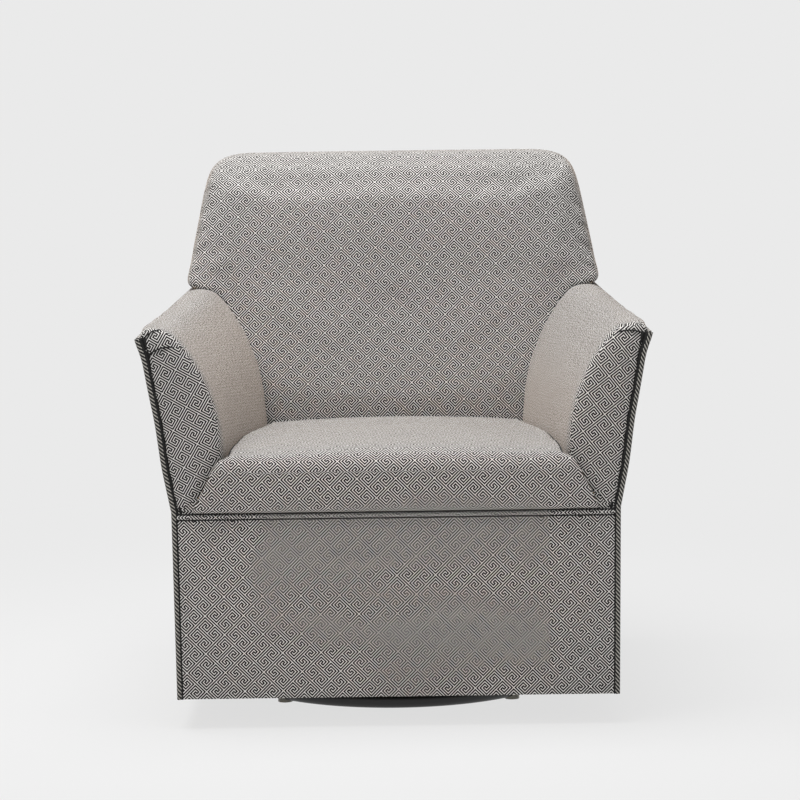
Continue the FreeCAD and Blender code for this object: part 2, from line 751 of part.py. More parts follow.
def make_front_posts():
    """Two uprights that flare outwards with the arms."""
    top = S.arm_front_height - 7
    for word, side in SIDES:
        corners = [
            (S.post_half, S.base_board_foot), (S.hem_half - S.cover_wall - S.free_fit, S.base_board_foot),
            (S.waist_half - S.cover_wall - S.free_fit, S.waist_height),
            (cover_inside_front(top) - S.cover_wall, top), (S.arm_front_top_in - 2, top),
            (S.arm_foam_half + 7, S.arm_front_seat_height + 19), (S.post_half, S.waist_height)]
        solid(f"front_post_{word}", "XZ_Plane", front_inside, post_rear, [mirrored(corners, side)])


def make_arm_rails():
    """Two wooden rails under the arm tops, from the front posts to the back posts."""
    rail = 30
    drop = 7
    front_top = S.arm_front_height - drop
    rear_top = S.arm_rear_height - S.free_fit * 10
    rear_in = S.back_post_out
    for word, side in SIDES:
        front_in = S.arm_front_top_in
        rear_reach = back_inside(rear_top) - 8
        front = [(front_in, front_top - rail), (front_in + rail, front_top - rail),
                 (front_in + rail, front_top), (front_in, front_top)]
        rear = [(rear_in, rear_top - rail), (rear_in + rail, rear_top - rail),
                (rear_in + rail, rear_top), (rear_in, rear_top)]
        body = new_body(f"arm_rail_{word}")
        loft(body, "XZ_Plane", [(post_rear, mirrored(front, side)), (rear_reach, mirrored(rear, side))])


back_board_foot = S.waist_height + 9
back_board_top = S.back_corner_height + 15
back_post_top = back_board_top - S.back_board_width


def make_back_frame():
    """Raked back posts with a lower and a top board between them."""
    for word, side in SIDES:
        inner, outer = sorted((side * S.back_post_in, side * S.back_post_out), key=lambda size: size.value)
        foot, top = S.base_board_foot, back_post_top
        solid(f"back_post_{word}", "YZ_Plane", inner, outer, [[
            (back_inside(foot) - S.back_post_depth, foot), (back_inside(foot), foot),
            (back_inside(top), top), (back_inside(top) - S.back_post_depth, top)]])
    rear = back_inside(back_board_foot)
    solid("back_board_low", "XZ_Plane", rear - S.board, rear, [box_outline(
        -S.back_post_in, S.back_post_in, back_board_foot, back_board_foot + S.back_board_width)])
    rear = back_inside(back_post_top)
    solid("back_board_top", "XZ_Plane", rear - S.board, rear, [
        box_outline(-S.back_post_out + 20, S.back_post_out - 20, back_post_top, back_board_top)])


def make_back_webbing():
    """Four elastic straps in front of the back boards."""
    low, high = back_board_foot + 21, back_post_top + 23
    bend = back_board_foot + S.back_board_width
    foot = back_inside(back_board_foot) - S.board
    head = back_inside(back_post_top) - S.board
    body = new_body("back_webbing")
    wall, strap = 2, 50
    for number in range(4):
        left = -215 + number * 127
        extrude(body, "YZ_Plane", left, left + strap, [[
            (foot, low), (foot, bend), (head, back_post_top), (head, high), (head - wall, high),
            (head - wall, back_post_top), (foot - wall, bend), (foot - wall, low)]])


def make_corner_blocks():
    """Glued triangular blocks in the four corners of the seat frame."""
    leg = 70
    rear = S.spring_board_reach
    outlines = []
    for side in (1, -1):
        x = side * side_board_in
        y = post_rear
        outlines.append([(x, y), (x - side * leg, y), (x, y + leg)])
        outlines.append([(x, rear), (x - side * leg, rear), (x, rear - leg)])
    solid("corner_blocks", "XY_Plane", S.seat_board_foot + 8, S.seat_board_foot + 48, outlines)


def sinuous_wire(x, start, end, height, half, bends):
    """The centre line of one zigzag seat spring along Y, made of half circles and straight runs."""
    step = (end - start) / (bends + 1)
    bend = step / 2
    edges = []
    y = start
    side = 1
    edges.append(Part.makeLine(V(x, y, height), V(x + (half - bend), y, height)))
    for number in range(bends):
        inner = x + side * (half - bend)
        edges.append(Part.Arc(V(inner, y, height), V(inner + side * bend, y + bend, height),
                              V(inner, y + step, height)).toShape())
        y += step
        side = -side
        last = x if number == bends - 1 else x + side * (half - bend)
        edges.append(Part.makeLine(V(inner, y, height), V(last, y, height)))
    return Part.Wire(edges)


def make_seat_springs():
    """Four zigzag springs from the front seat board to the spring board."""
    wire = 1.8
    height = S.seat_board_top.value + wire
    start = front_inside.value + 10
    end = (S.spring_board_reach + S.board / 2).value
    shapes = []
    for number in range(4):
        path = sinuous_wire(-195 + number * 130, start, end, height, 38, 9)
        shapes.append(tube_along(path, wire))
    springs = doc.addObject("Part::Feature", "seat_springs")
    springs.Shape = Part.makeCompound(shapes)
    keep(springs, "seat_springs")


deck_foot = S.waist_height + S.welt_radius - S.deck_wall


def make_seat_deck():
    """Burlap and felt that spread the load over the springs."""
    corner = S.post_half - 4
    rear = S.spring_board_reach + S.board
    solid("seat_deck", "XY_Plane", deck_foot - 0.3, deck_foot + S.deck_wall - 0.3, [[
        (-corner, front_inside), (corner, front_inside), (corner, post_rear + S.free_fit),
        (side_board_out, post_rear + S.free_fit), (side_board_out, rear), (-side_board_out, rear),
        (-side_board_out, post_rear + S.free_fit), (-corner, post_rear + S.free_fit)]])


def make_dust_cover():
    """Thin black cloth under the slats, cut out round the mechanism."""
    rear = back_inside(S.base_board_foot) - S.board
    half = side_board_in
    body = solid("dust_cover", "XY_Plane", S.slat_height - 1, S.slat_height, [
        box_outline(-half, half, front_inside + S.board, rear - 14)])
    extrude(body, "XY_Plane", S.slat_height - 1, S.slat_height, cut=True,
            outlines=[box_outline(-176, 176, -S.bed_reach - 4, S.bed_reach + 4)])
    extrude(body, "XY_Plane", S.slat_height - 1, S.slat_height, cut=True, outlines=[
        box_outline(side * S.post_half - 20, side * S.post_half + 20, front_inside, post_rear)
        for side in (1, -1)])


# Pads: foam with its cover.

pad_foot = S.waist_height + S.welt_radius


def seat_half(place, height):
    """Half width of the seat between the arms at a place along Y."""
    share = (as_size(place) + S.front_reach) / (S.arm_rear_reach + S.front_reach)
    return along(S.arm_front_seat_half, S.arm_rear_seat_half, share) - S.free_fit


def seat_front_half(height):
    """Half width of the seat's front face, which widens towards the waist."""
    share = (as_size(height) - pad_foot) / (S.arm_front_seat_height - pad_foot)
    return along(S.arm_front_foot_half, S.arm_front_seat_half, share) - S.free_fit


def make_seat_pad():
    """The tight seat: a crowned pad whose front rolls over and bulges ahead of the arms."""
    top, rear_top, crown = S.seat_edge_height, S.seat_rear_edge_height, S.seat_crown
    middle_height = (top + pad_foot) / 2

    def front(place, low, high, bulge):
        return (place, [(-seat_front_half(low), low), (seat_front_half(low), low),
                        (seat_front_half(high), high, bulge), (-seat_front_half(high), high)])

    def inner(place, high, bulge):
        half = seat_half(place, high)
        return (place, [(-half, pad_foot), (half, pad_foot), (half, high, bulge), (-half, high)])

    rear = S.back_seat_reach - S.free_fit
    sections = [
        front(front_face - S.seat_bulge, middle_height - 26, middle_height + 18, crown * 0.6),
        front(front_face - S.seat_bulge * 0.75, pad_foot + 5, top - 24, crown * 0.8),
        front(front_face, pad_foot, top - 10, crown),
        front(front_inside - S.free_fit * 2, pad_foot, top - 8, crown),
        inner(front_inside - S.free_fit, top - 8, crown),
        inner(front_face + 34, top, crown),
        inner(front_face + 190, top + 4, crown * 1.3),
        inner(rear, rear_top, crown),
    ]
    loft(new_body("seat_pad"), "XZ_Plane", sections)


def arm_front_section(inset, foot_half):
    """The arm's section in front, drawn in by an inset; foot_half is its inner foot."""
    outer, height = S.arm_front_half, S.arm_front_height
    cover = S.cover_wall + 2 * S.free_fit
    return [
        (as_size(foot_half) + inset, pad_foot), (S.waist_half - cover, pad_foot),
        (outer - cover, height), (outer - 0.5 - inset, height + 0.5, S.arm_top_crown),
        (outer - S.arm_top_round, height + S.arm_top_rise * 0.75 - inset, S.arm_top_crown * 0.6),
        (S.arm_front_top_in + inset, height + S.arm_top_rise - inset, S.arm_inner_crown),
        (S.arm_front_seat_half + inset, S.arm_front_seat_height)]


def arm_rear_section():
    """The arm's section towards the back."""
    outer, height = S.arm_rear_half, S.arm_rear_height
    cover = S.cover_wall + 2 * S.free_fit
    return [
        (S.arm_rear_seat_half, pad_foot), (S.waist_half - cover, pad_foot), (outer - cover, height),
        (outer - 0.5, height + 0.5, S.arm_top_crown),
        (outer - S.arm_top_round, height + S.arm_top_rear_rise, S.arm_top_crown * 0.6),
        (S.arm_rear_top_in, height + S.arm_top_rear_rise - 2, S.arm_inner_crown * 1.2),
        (S.arm_rear_seat_half, S.arm_rear_seat_height)]


def arm_hollow_sections():
    """The hollow in the arm pad that the post and the rail fill."""
    wall = S.arm_foam_half
    over = 6

    def section(in_top, top, outer_top):
        return [(wall, pad_foot - 1), (S.waist_half + over, pad_foot - 1), (outer_top + over, top),
                (in_top, top), (wall, S.arm_front_seat_height + 19)]

    front_top = S.arm_front_height - 7 + S.free_fit
    rear_top = S.arm_rear_height - S.free_fit * 5
    return [
        (front_inside - S.free_fit / 4,
         section(S.arm_front_top_in - 6, front_top, S.arm_front_half - S.cover_wall)),
        (S.arm_rear_reach + 20,
         section(S.back_post_out - 4, rear_top, S.arm_rear_half - S.cover_wall))]


def make_arm_pads():
    """Arm pads: inside arm, rolled top and front facing, hollow round the wooden arm."""
    inner_foot = S.arm_front_seat_half - 2
    for word, side in SIDES:
        body = new_body(f"arm_pad_{word}")
        loft(body, "XZ_Plane", [
            (front_face, mirrored(arm_front_section(3, S.arm_front_foot_half), side)),
            (front_face + 3, mirrored(arm_front_section(0, S.arm_front_foot_half), side)),
            (front_inside, mirrored(arm_front_section(0, S.arm_front_foot_half), side)),
            (front_inside + 0.4, mirrored(arm_front_section(0, inner_foot), side)),
            (S.arm_rear_reach, mirrored(arm_rear_section(), side))])
        loft(body, "XZ_Plane", [(place, mirrored(corners, side)) for place, corners in arm_hollow_sections()],
             cut=True)
        trim_to_back(body)


def trim_to_back(body):
    """Cut away what reaches into the inside back."""
    reach = S.arm_rear_reach + 10
    clear = S.free_fit
    top = S.arm_rear_height + 40
    extrude(body, "YZ_Plane", -S.arm_front_half - 10, S.arm_front_half + 10, cut=True, outlines=[[
        (S.back_seat_reach - clear, pad_foot - 2), (S.back_seat_reach - clear, S.back_lean_height),
        (inside_back(top) - clear, top), (inside_back(top) + reach, top), (reach + 60, pad_foot - 2)]])


def back_half(height):
    """Half width of the back above the arms, at a height."""
    low = S.arm_rear_height + 8
    run = (S.back_corner_half - S.back_shoulder_half) / (S.back_corner_height - low)
    return S.back_shoulder_half + (as_size(height) - low) * run


def back_section(height, half, front, crown, rear_in=0):
    """A level section of the back pad with a crowned front."""
    rear = back_inside(height) - rear_in
    return (height, [(-half, front, crown), (half, front), (half, rear), (-half, rear)])


def make_back_pad():
    """The tight back: a crowned, leaning pad whose top rolls back, hollow for the frame."""
    seam = S.arm_rear_height + 8
    waist = S.waist_half - S.cover_wall - S.free_fit
    arm_level = S.arm_rear_half - S.cover_wall - 12
    corner, top = S.back_corner_height, S.chair_height
    crown = S.back_crown
    seat = S.back_seat_reach
    body = new_body("back_pad")
    loft(body, "XY_Plane", [
        back_section(pad_foot, waist, seat, crown * 0.02),
        back_section(S.back_lean_height, waist, seat, crown * 0.02),
        back_section(seam, arm_level, inside_back(seam), crown * 0.02),
        back_section(seam + 0.5, back_half(seam), inside_back(seam) + 6, crown * 0.7),
        back_section(along(seam, corner, as_size(0.5)), back_half(along(seam, corner, as_size(0.5))),
                     inside_back(along(seam, corner, as_size(0.5))) + 4, crown),
        back_section(corner, back_half(corner), inside_back(corner) + 4, crown),
        back_section(corner + 22, back_half(corner) - 9, inside_back(corner) + 14, crown),
        back_section(top - 8, back_half(corner) - 31, inside_back(corner) + 40, crown * 0.8),
        back_section(top, back_half(corner) - 62, inside_back(corner) + 66, crown * 0.4)])
    foam = S.back_foam
    wide = S.waist_half + 20
    narrow = S.back_post_out + 3
    hollow_top = back_board_top + S.free_fit
    beyond = S.back_top_reach + 20

    def hollow(height, half, front):
        return (height, [(-half, front), (half, front), (half, beyond), (-half, beyond)])

    low_step = S.arm_rear_height
    loft(body, "XY_Plane", [
        hollow(pad_foot - 1, wide, seat + foam),
        hollow(S.back_lean_height, wide, seat + foam),
        hollow(low_step, wide, along(seat + foam, inside_back(hollow_top) + foam - 4, as_size(0.55))),
        hollow(low_step + 0.5, narrow, along(seat + foam, inside_back(hollow_top) + foam - 4, as_size(0.55))),
        hollow(back_post_top, narrow, inside_back(back_post_top) + foam - 4),
        hollow(hollow_top, narrow - 22, inside_back(hollow_top) + foam - 10)], cut=True)
    notch = S.back_post_out - 3
    for side in (1, -1):
        extrude(body, "XZ_Plane", S.back_seat_reach - 30, S.back_top_reach + 20, cut=True, outlines=[
            box_outline(side * notch, side * (notch + 100), low_step - 46, low_step)])


# Outside panels and welts.

def make_front_panel():
    """The flat panel under the seat front."""
    edge = S.cover_wall + S.free_fit
    solid("front_panel", "XZ_Plane", front_face, front_inside, [[
        (edge - S.hem_half, S.hem_height), (S.hem_half - edge, S.hem_height),
        (S.waist_half - edge, S.waist_height - S.welt_radius),
        (edge - S.waist_half, S.waist_height - S.welt_radius)]])


arm_rear_slope = (S.arm_rear_half - S.arm_front_half) / (S.arm_rear_reach + S.front_reach)
arm_top_slope = (S.arm_rear_height - S.arm_front_height) / (S.arm_rear_reach + S.front_reach)


def arm_outer(place):
    """Outer half width and height of the arm's outer edge at a place along Y."""
    run = as_size(place) + S.front_reach
    return S.arm_front_half + run * arm_rear_slope, S.arm_front_height + run * arm_top_slope


def make_outside_arms():
    """Outside arm panels, one piece from hem to arm top, ended by the outside back."""
    rear = S.back_top_reach + 6
    top_reach = S.arm_rear_height + 60
    for word, side in SIDES:
        body = new_body(f"outside_arm_{word}")
        sections = []
        for place in (front_inside, rear):
            half, edge_height = arm_outer(place)
            height = edge_height - 2 * S.free_fit
            inner = half - S.cover_wall
            corners = [(S.hem_half - S.cover_wall, S.hem_height), (S.hem_half, S.hem_height),
                       (S.waist_half, S.waist_height), (half, height), (inner, height),
                       (S.waist_half - S.cover_wall, S.waist_height)]
            sections.append((place, mirrored(corners, side)))
        loft(body, "XZ_Plane", sections)
        foot = S.hem_height - 1
        extrude(body, "YZ_Plane", -S.arm_front_half - 10, S.arm_front_half + 10, cut=True, outlines=[[
            (back_inside(foot) - S.free_fit, foot), (back_inside(top_reach) - S.free_fit, top_reach),
            (rear + 40, top_reach), (rear + 40, foot)]])


def back_outline(inset):
    """The outside back seen from behind, from the left hem over the top to the right hem."""
    seam = S.arm_rear_height + 8
    corner, top = S.back_corner_height, S.chair_height
    half = back_half(corner)
    left = [
        (S.hem_half - inset, S.hem_height), (S.waist_half - inset, S.waist_height),
        (back_half(seam) - 4 - inset, seam), (half - inset, corner),
        (half - 12 - inset, corner + 26), (half - 38 - inset, top - 8 - inset)]
    right = [(-x, z) for x, z in reversed(left)]
    return left + [(0, top - inset)] + right


def back_welt_tube(radius):
    """A tube along the edge of the outside back."""
    inset = S.cover_wall - S.welt_radius
    points = [(x, back_plane(z) - inset, z) for x, z in back_outline(inset)]
    return welt_tube(points, [60, 60, 18, 18, 40, 900, 40, 18, 18, 60, 60], radius)


def make_outside_back():
    """The outside back panel, one piece from hem to top, hollowed at its edge for the welt."""
    body = doc.addObject("PartDesign::Body", "outside_back_blank")
    foot, top = S.hem_height, S.chair_height + 2
    half = S.back_shoulder_half + 6
    extrude(body, "YZ_Plane", -half, half, [[
        (back_inside(foot), foot), (back_plane(foot), foot), (back_plane(top), top), (back_inside(top), top)]])
    wide = half + 10
    frame = [(-wide, foot - 10), (wide, foot - 10), (wide, top + 10), (-wide, top + 10)]
    extrude(body, "XZ_Plane", S.back_foot_reach - 40, S.back_top_reach + 40, cut=True,
            outlines=[frame, back_outline(S.cover_wall - S.welt_radius)])
    seat = doc.addObject("Part::Feature", "welt_seat")
    seat.Shape = back_welt_tube(S.welt_radius.value + 0.3)
    panel = doc.addObject("Part::Cut", "outside_back")
    panel.Base = body
    panel.Tool = seat
    keep(panel, "outside_back")


def rounded_path(points, radii):
    """A wire of straight runs joined by tangent arcs."""
    edges = []
    start = points[0]
    for index in range(1, len(points) - 1):
        before = (points[index - 1] - points[index]).normalize()
        after = (points[index + 1] - points[index]).normalize()
        angle = before.getAngle(after)
        reach = radii[index - 1] / math.tan(angle / 2)
        first, last = points[index] + before * reach, points[index] + after * reach
        bisector = (before + after).normalize()
        centre = points[index] + bisector * (radii[index - 1] / math.sin(angle / 2))
        middle = centre - bisector * radii[index - 1]
        edges.append(Part.makeLine(start, first))
        edges.append(Part.Arc(first, middle, last).toShape())
        start = last
    edges.append(Part.makeLine(start, points[-1]))
    return Part.Wire(edges)


def welt_tube(points, radii, radius):
    """A tube along a path of runs and arcs."""
    path = [V(*(as_size(number).value for number in point)) for point in points]
    return tube_along(rounded_path(path, radii), radius)


def make_welt(name, shape):
    """A covered cord as a sub-part."""
    welt = doc.addObject("Part::Feature", name)
    welt.Shape = shape
    keep(welt, name)


def make_welts():
    """Front welt, two corner welts and the welt round the outside back."""
    inset = S.cover_wall - S.welt_radius
    place = front_face + inset
    span = S.waist_half - S.cover_wall - 1
    solid("front_welt", "YZ_Plane", -span, span, circles=[(place, S.waist_height, S.welt_radius)])
    lean = (S.arm_front_half - S.waist_half) / (S.arm_front_height - S.waist_height)
    top = S.arm_front_height - 2
    head = S.arm_front_half - inset - 2 * lean
    for word, side in SIDES:
        points = [(side * (S.hem_half - inset), place, S.hem_height),
                  (side * (S.waist_half - inset), place, S.waist_height + 8), (side * head, place, top)]
        make_welt(f"corner_welt_{word}", welt_tube(points, [60], S.welt_radius.value))
    make_welt("back_welt", back_welt_tube(S.welt_radius.value))


def build_all():
    """Make every sub-part."""
    make_base_ring()
    make_floor_glides()
    make_spider()
    make_bolts("spider_bolts", [(x * S.ring_reach, y * S.ring_reach) for x, y in CROSS],
               spider_top, S.bolt_radius * 1.8, 5, ring_height)
    make_race("lower_race", spider_top, lower_race_top)
    make_ball_cage()
    make_bearing_balls()
    make_king_bolt()
    make_king_nut()
    upper = make_race("upper_race", upper_race_foot, upper_race_top)
    doc.recompute()
    extrude(upper, "XY_Plane", upper_race_foot, upper_race_top, cut=True,
            circles=[(x, y, S.bolt_radius + S.running_fit) for x, y in BED_BOLTS])
    make_rocker_bed()
    make_bolts("bed_bolts", BED_BOLTS, bed_top, S.bolt_radius * 1.6, 4, upper_race_foot + 0.2)
    make_pin("cross_shaft", S.pivot_height, S.shaft_radius)
    make_pin("stop_rod", stop_height, S.stop_radius)
    make_clips()
    make_spring_cups("lower_spring_cups", bed_top, 1)
    make_spring_cups("upper_spring_cups", hanger_top, -1)
    make_springs()
    make_hangers()
    make_bushes()
    make_mount_bars()
    make_mount_bolts()
    make_slats()
    make_boards()
    make_front_posts()
    make_arm_rails()
    make_back_frame()
    make_back_webbing()
    make_corner_blocks()
    make_seat_springs()
    make_seat_deck()
    make_dust_cover()
    make_seat_pad()
    make_arm_pads()
    make_back_pad()
    make_front_panel()
    make_outside_arms()
    make_outside_back()
    make_welts()


def check_document():
    """Stop if any object failed, or any sub-part is empty or not valid."""
    doc.recompute()
    for item in doc.Objects:
        if "Invalid" in item.State or "Error" in item.State:
            raise RuntimeError(f"{item.Label} failed: {item.State}")
    for name, item in nodes.items():
        if item.Shape.isNull() or not item.Shape.isValid() or not item.Shape.Solids:
            raise RuntimeError(f"{name} has no valid solid")


def write_parts():
    """Write each sub-part to its own file."""
    os.makedirs("parts", exist_ok=True)
    for name, item in nodes.items():
        item.Shape.exportStep(f"parts/{name}.step")
        print(name, len(item.Shape.Solids), round(item.Shape.Volume))


build_all()
check_document()
write_parts()
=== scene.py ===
# %% [markdown]
# # A swivel rocker chair, dressed in Greek key fabric
#
# The imported model gives every piece its size and place, in metres: Z is up and the front faces -Y.
# This lesson dresses it: foam pads in woven cloth, welts, panels, and finishes for steel, wood and
# nylon.

# %% Load the imported chair
import json
import math

import bpy
import numpy as np
from mathutils import Matrix, Vector, kdtree


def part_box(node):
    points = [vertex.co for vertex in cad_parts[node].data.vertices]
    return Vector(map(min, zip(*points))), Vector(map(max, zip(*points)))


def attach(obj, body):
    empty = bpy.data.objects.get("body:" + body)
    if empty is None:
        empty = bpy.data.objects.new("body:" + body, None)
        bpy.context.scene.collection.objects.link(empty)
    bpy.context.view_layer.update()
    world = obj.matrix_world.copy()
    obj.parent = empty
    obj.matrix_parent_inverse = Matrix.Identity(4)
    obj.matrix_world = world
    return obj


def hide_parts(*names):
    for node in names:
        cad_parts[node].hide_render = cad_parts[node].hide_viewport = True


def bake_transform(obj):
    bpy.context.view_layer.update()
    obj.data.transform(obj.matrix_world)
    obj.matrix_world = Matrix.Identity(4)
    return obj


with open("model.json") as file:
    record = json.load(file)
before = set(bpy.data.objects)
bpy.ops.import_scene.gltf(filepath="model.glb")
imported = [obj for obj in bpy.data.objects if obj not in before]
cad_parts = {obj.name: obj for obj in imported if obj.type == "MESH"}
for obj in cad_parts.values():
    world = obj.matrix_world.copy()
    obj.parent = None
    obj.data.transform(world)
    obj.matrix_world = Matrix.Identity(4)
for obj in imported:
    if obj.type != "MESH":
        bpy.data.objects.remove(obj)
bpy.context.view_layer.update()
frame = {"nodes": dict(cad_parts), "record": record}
nodes = frame["nodes"]

# %% [markdown]
# ## Small tools
#
# A colour is written as people write it, in sRGB hex, and one function turns it to the linear
# numbers that a shader wants. One more function adds a shader node with its settings and links.

# %% Colour and node tools
MM = 0.001


def linear(hex_colour):
    """An sRGB colour such as #e8e4dc as the linear values that a shader takes."""
    values = [int(hex_colour[start:start + 2], 16) / 255 for start in (1, 3, 5)]
    return [v / 12.92 if v <= 0.04045 else ((v + 0.055) / 1.055) ** 2.4 for v in values] + [1.0]


def add(tree, kind, inputs=None, **settings):
    """A node with its settings; inputs hold plain values, or the sockets that feed them."""
    made = tree.nodes.new("ShaderNode" + kind)
    for name, value in settings.items():
        setattr(made, name, value)
    for name, value in (inputs or {}).items():
        if isinstance(value, bpy.types.NodeSocket):
            tree.links.new(value, made.inputs[name])
        else:
            made.inputs[name].default_value = value
    return made


def new_finish(name, **surface):
    """A material with a Principled surface; surface gives the values of its sockets."""
    finish = bpy.data.materials.new(name)
    finish.use_nodes = True
    tree = finish.node_tree
    tree.nodes.clear()
    shader = add(tree, "BsdfPrincipled", {k.replace("_", " "): v for k, v in surface.items()})
    output = add(tree, "OutputMaterial", {"Surface": shader.outputs[0]})
    output.is_active_output = True
    return finish, tree, shader


def only(piece):
    """Select this piece alone and make it the active one."""
    bpy.ops.object.select_all(action="DESELECT")
    piece.hide_set(False)
    piece.select_set(True)
    bpy.context.view_layer.objects.active = piece


# %% [markdown]
# ## The Greek key fabric
#
# The cover is a heavy jacquard: charcoal yarn on off-white yarn, woven as a meander, or Greek key.
# The pattern repeats in square blocks of 24 by 24 thread groups. A block is the same in all four
# quarters, mirrored, and every second block lies on its side. So a point is folded into one
# quarter, and there it is dark if it lies on one of twelve short strokes. Each stroke is a box, and
# the distance to the nearest box gives a clean edge at any zoom. The block measures 42.5 mm.

# %% Greek key pattern
KEY_BLOCK = 42.5 * MM
GROUPS = 24                    # thread groups across one block, 1.77 mm each
KEY_PATH = [(1, 1), (1, 11), (9, 11), (9, 5), (5, 5), (5, 7), (7, 7), (7, 9), (3, 9), (3, 3),
            (11, 3), (11, 12)]
KEY_STROKES = list(zip(KEY_PATH, KEY_PATH[1:])) + [((1, 1), (12, 1))]
STROKE_HALF = 0.7              # half width of a stroke, in thread groups
EDGE_SOFT = 0.15               # half width of a stroke's soft edge, in thread groups


def greek_key(tree, cloth):
    """The share of charcoal yarn, 0 to 1, at a place on the cloth in metres."""
    blocks = add(tree, "VectorMath", {0: cloth, 1: (1 / KEY_BLOCK,) * 3},
                 operation="MULTIPLY").outputs[0]
    cell = add(tree, "VectorMath", {0: blocks}, operation="FLOOR").outputs[0]
    within = add(tree, "VectorMath", {0: blocks}, operation="FRACTION").outputs[0]
    from_middle = add(tree, "VectorMath", {0: within, 1: (0.5, 0.5, 0.5)},
                      operation="SUBTRACT").outputs[0]
    folded = add(tree, "VectorMath", {0: from_middle}, operation="ABSOLUTE").outputs[0]
    quarter = add(tree, "VectorMath", {0: folded, 1: (-GROUPS,) * 3, 2: (GROUPS / 2,) * 3},
                  operation="MULTIPLY_ADD").outputs[0]
    cells = add(tree, "SeparateXYZ", {0: cell})
    count = add(tree, "Math", {0: cells.outputs[0], 1: cells.outputs[1]},
                operation="ADD").outputs[0]
    turned = add(tree, "Math", {0: count, 1: 2.0}, operation="FLOORED_MODULO").outputs[0]
    parts = add(tree, "SeparateXYZ", {0: quarter})
    across = add(tree, "Mix", {0: turned, 2: parts.outputs[0], 3: parts.outputs[1]},
                 data_type="FLOAT").outputs[0]
    up = add(tree, "Mix", {0: turned, 2: parts.outputs[1], 3: parts.outputs[0]},
             data_type="FLOAT").outputs[0]
    place = add(tree, "CombineXYZ", {0: across, 1: up}).outputs[0]
    nearest = None
    for (x0, y0), (x1, y1) in KEY_STROKES:
        middle = ((x0 + x1) / 2, (y0 + y1) / 2, 0)
        half = (abs(x1 - x0) / 2 + STROKE_HALF, abs(y1 - y0) / 2 + STROKE_HALF, 0)
        away = add(tree, "VectorMath", {0: place, 1: middle}, operation="SUBTRACT").outputs[0]
        size = add(tree, "VectorMath", {0: away}, operation="ABSOLUTE").outputs[0]
        outside = add(tree, "VectorMath", {0: size, 1: half}, operation="SUBTRACT").outputs[0]
        axes = add(tree, "SeparateXYZ", {0: outside})
        far = add(tree, "Math", {0: axes.outputs[0], 1: axes.outputs[1]},
                  operation="MAXIMUM").outputs[0]
        if nearest is None:
            nearest = far
        else:
            nearest = add(tree, "Math", {0: nearest, 1: far}, operation="MINIMUM").outputs[0]
    edge = {0: nearest, 1: EDGE_SOFT, 2: -EDGE_SOFT, 3: 0.0, 4: 1.0}
    return add(tree, "MapRange", edge).outputs[0]


# %% [markdown]
# The yarns themselves are about half a millimetre thick. They can't show in a picture of the whole
# chair, so they are drawn twice as coarse, 0.9 mm, as a fine ripple in height. The
# off-white yarn stands a little prouder than the charcoal yarn. Soft sheen at grazing angles is
# what makes the arm tops look dusty pale.

# %% Key fabric finish
YARN = 0.9 * MM
PALE_YARN, DARK_YARN, DUSTY_YARN = "#efeeec", "#0c0c0c", "#b79f8a"


def key_fabric(name, turn):
    """Woven jacquard, 45% cotton and 55% polyester: matt, with a soft sheen. Turn is in degrees."""
    finish, tree, shader = new_finish(name, Roughness=0.85, Sheen_Weight=0.3, Sheen_Roughness=0.4,
                                      Sheen_Tint=linear("#e0c4ac"), Specular_IOR_Level=0.25)
    uv = add(tree, "UVMap", uv_map="cloth").outputs[0]
    cloth = add(tree, "Mapping", {"Vector": uv, "Rotation": (0, 0, math.radians(turn))}).outputs[0]
    key = greek_key(tree, cloth)
    ripple = add(tree, "VectorMath", {0: cloth, 1: (math.tau / YARN,) * 3},
                 operation="MULTIPLY").outputs[0]
    sines = add(tree, "VectorMath", {0: ripple}, operation="SINE").outputs[0]
    waves = add(tree, "SeparateXYZ", {0: sines})
    yarn = add(tree, "Math", {0: waves.outputs[0], 1: waves.outputs[1]},
               operation="MULTIPLY").outputs[0]
    point = add(tree, "TexCoord").outputs["Object"]
    slub = add(tree, "TexNoise", {"Vector": point, "Scale": 260.0, "Detail": 3.0}).outputs[0]
    pale = add(tree, "Mix", {0: slub, 6: linear(PALE_YARN), 7: linear(DUSTY_YARN)},
               data_type="RGBA").outputs[2]
    pale = add(tree, "Mix", {0: 0.75, 6: pale, 7: linear(PALE_YARN)},
               data_type="RGBA").outputs[2]
    colour = add(tree, "Mix", {0: key, 6: pale, 7: linear(DARK_YARN)},
                 data_type="RGBA").outputs[2]
    # Painted shade: the seam attribute darkens the cloth to near-black in the bottoms of folds.
    fold_shade = add(tree, "Attribute", attribute_name="seam").outputs["Fac"]
    colour = add(tree, "Mix", {0: fold_shade, 6: colour, 7: linear("#0c0b0b")},
                 data_type="RGBA").outputs[2]
    tree.links.new(colour, shader.inputs["Base Color"])
    height = add(tree, "Math", {0: yarn, 1: 0.25, 2: key}, operation="MULTIPLY_ADD").outputs[0]
    bump = add(tree, "Bump", {"Height": height, "Strength": 0.35, "Distance": 0.25 * MM},
               invert=True)
    tree.links.new(bump.outputs[0], shader.inputs["Normal"])
    return finish


BIAS = 45                      # degrees: the cloth lies with its keys on the diagonal
LEFT_ARM_BIAS, RIGHT_ARM_BIAS = -26.8, -34.8
fabric = key_fabric("greek_key_jacquard", BIAS)
arm_fabric_left = key_fabric("greek_key_jacquard_left_arm", LEFT_ARM_BIAS)
arm_fabric_right = key_fabric("greek_key_jacquard_right_arm", RIGHT_ARM_BIAS)
print("key fabric: block", KEY_BLOCK, "m,", len(fabric.node_tree.nodes), "nodes")

# %% [markdown]
# The welts are the same cloth cut on the bias, where the keys break up into slanted stripes.

# %% Rope cover
STRIPE = 6.5 * MM              # from one slanted stripe of a welt to the next, along the cord


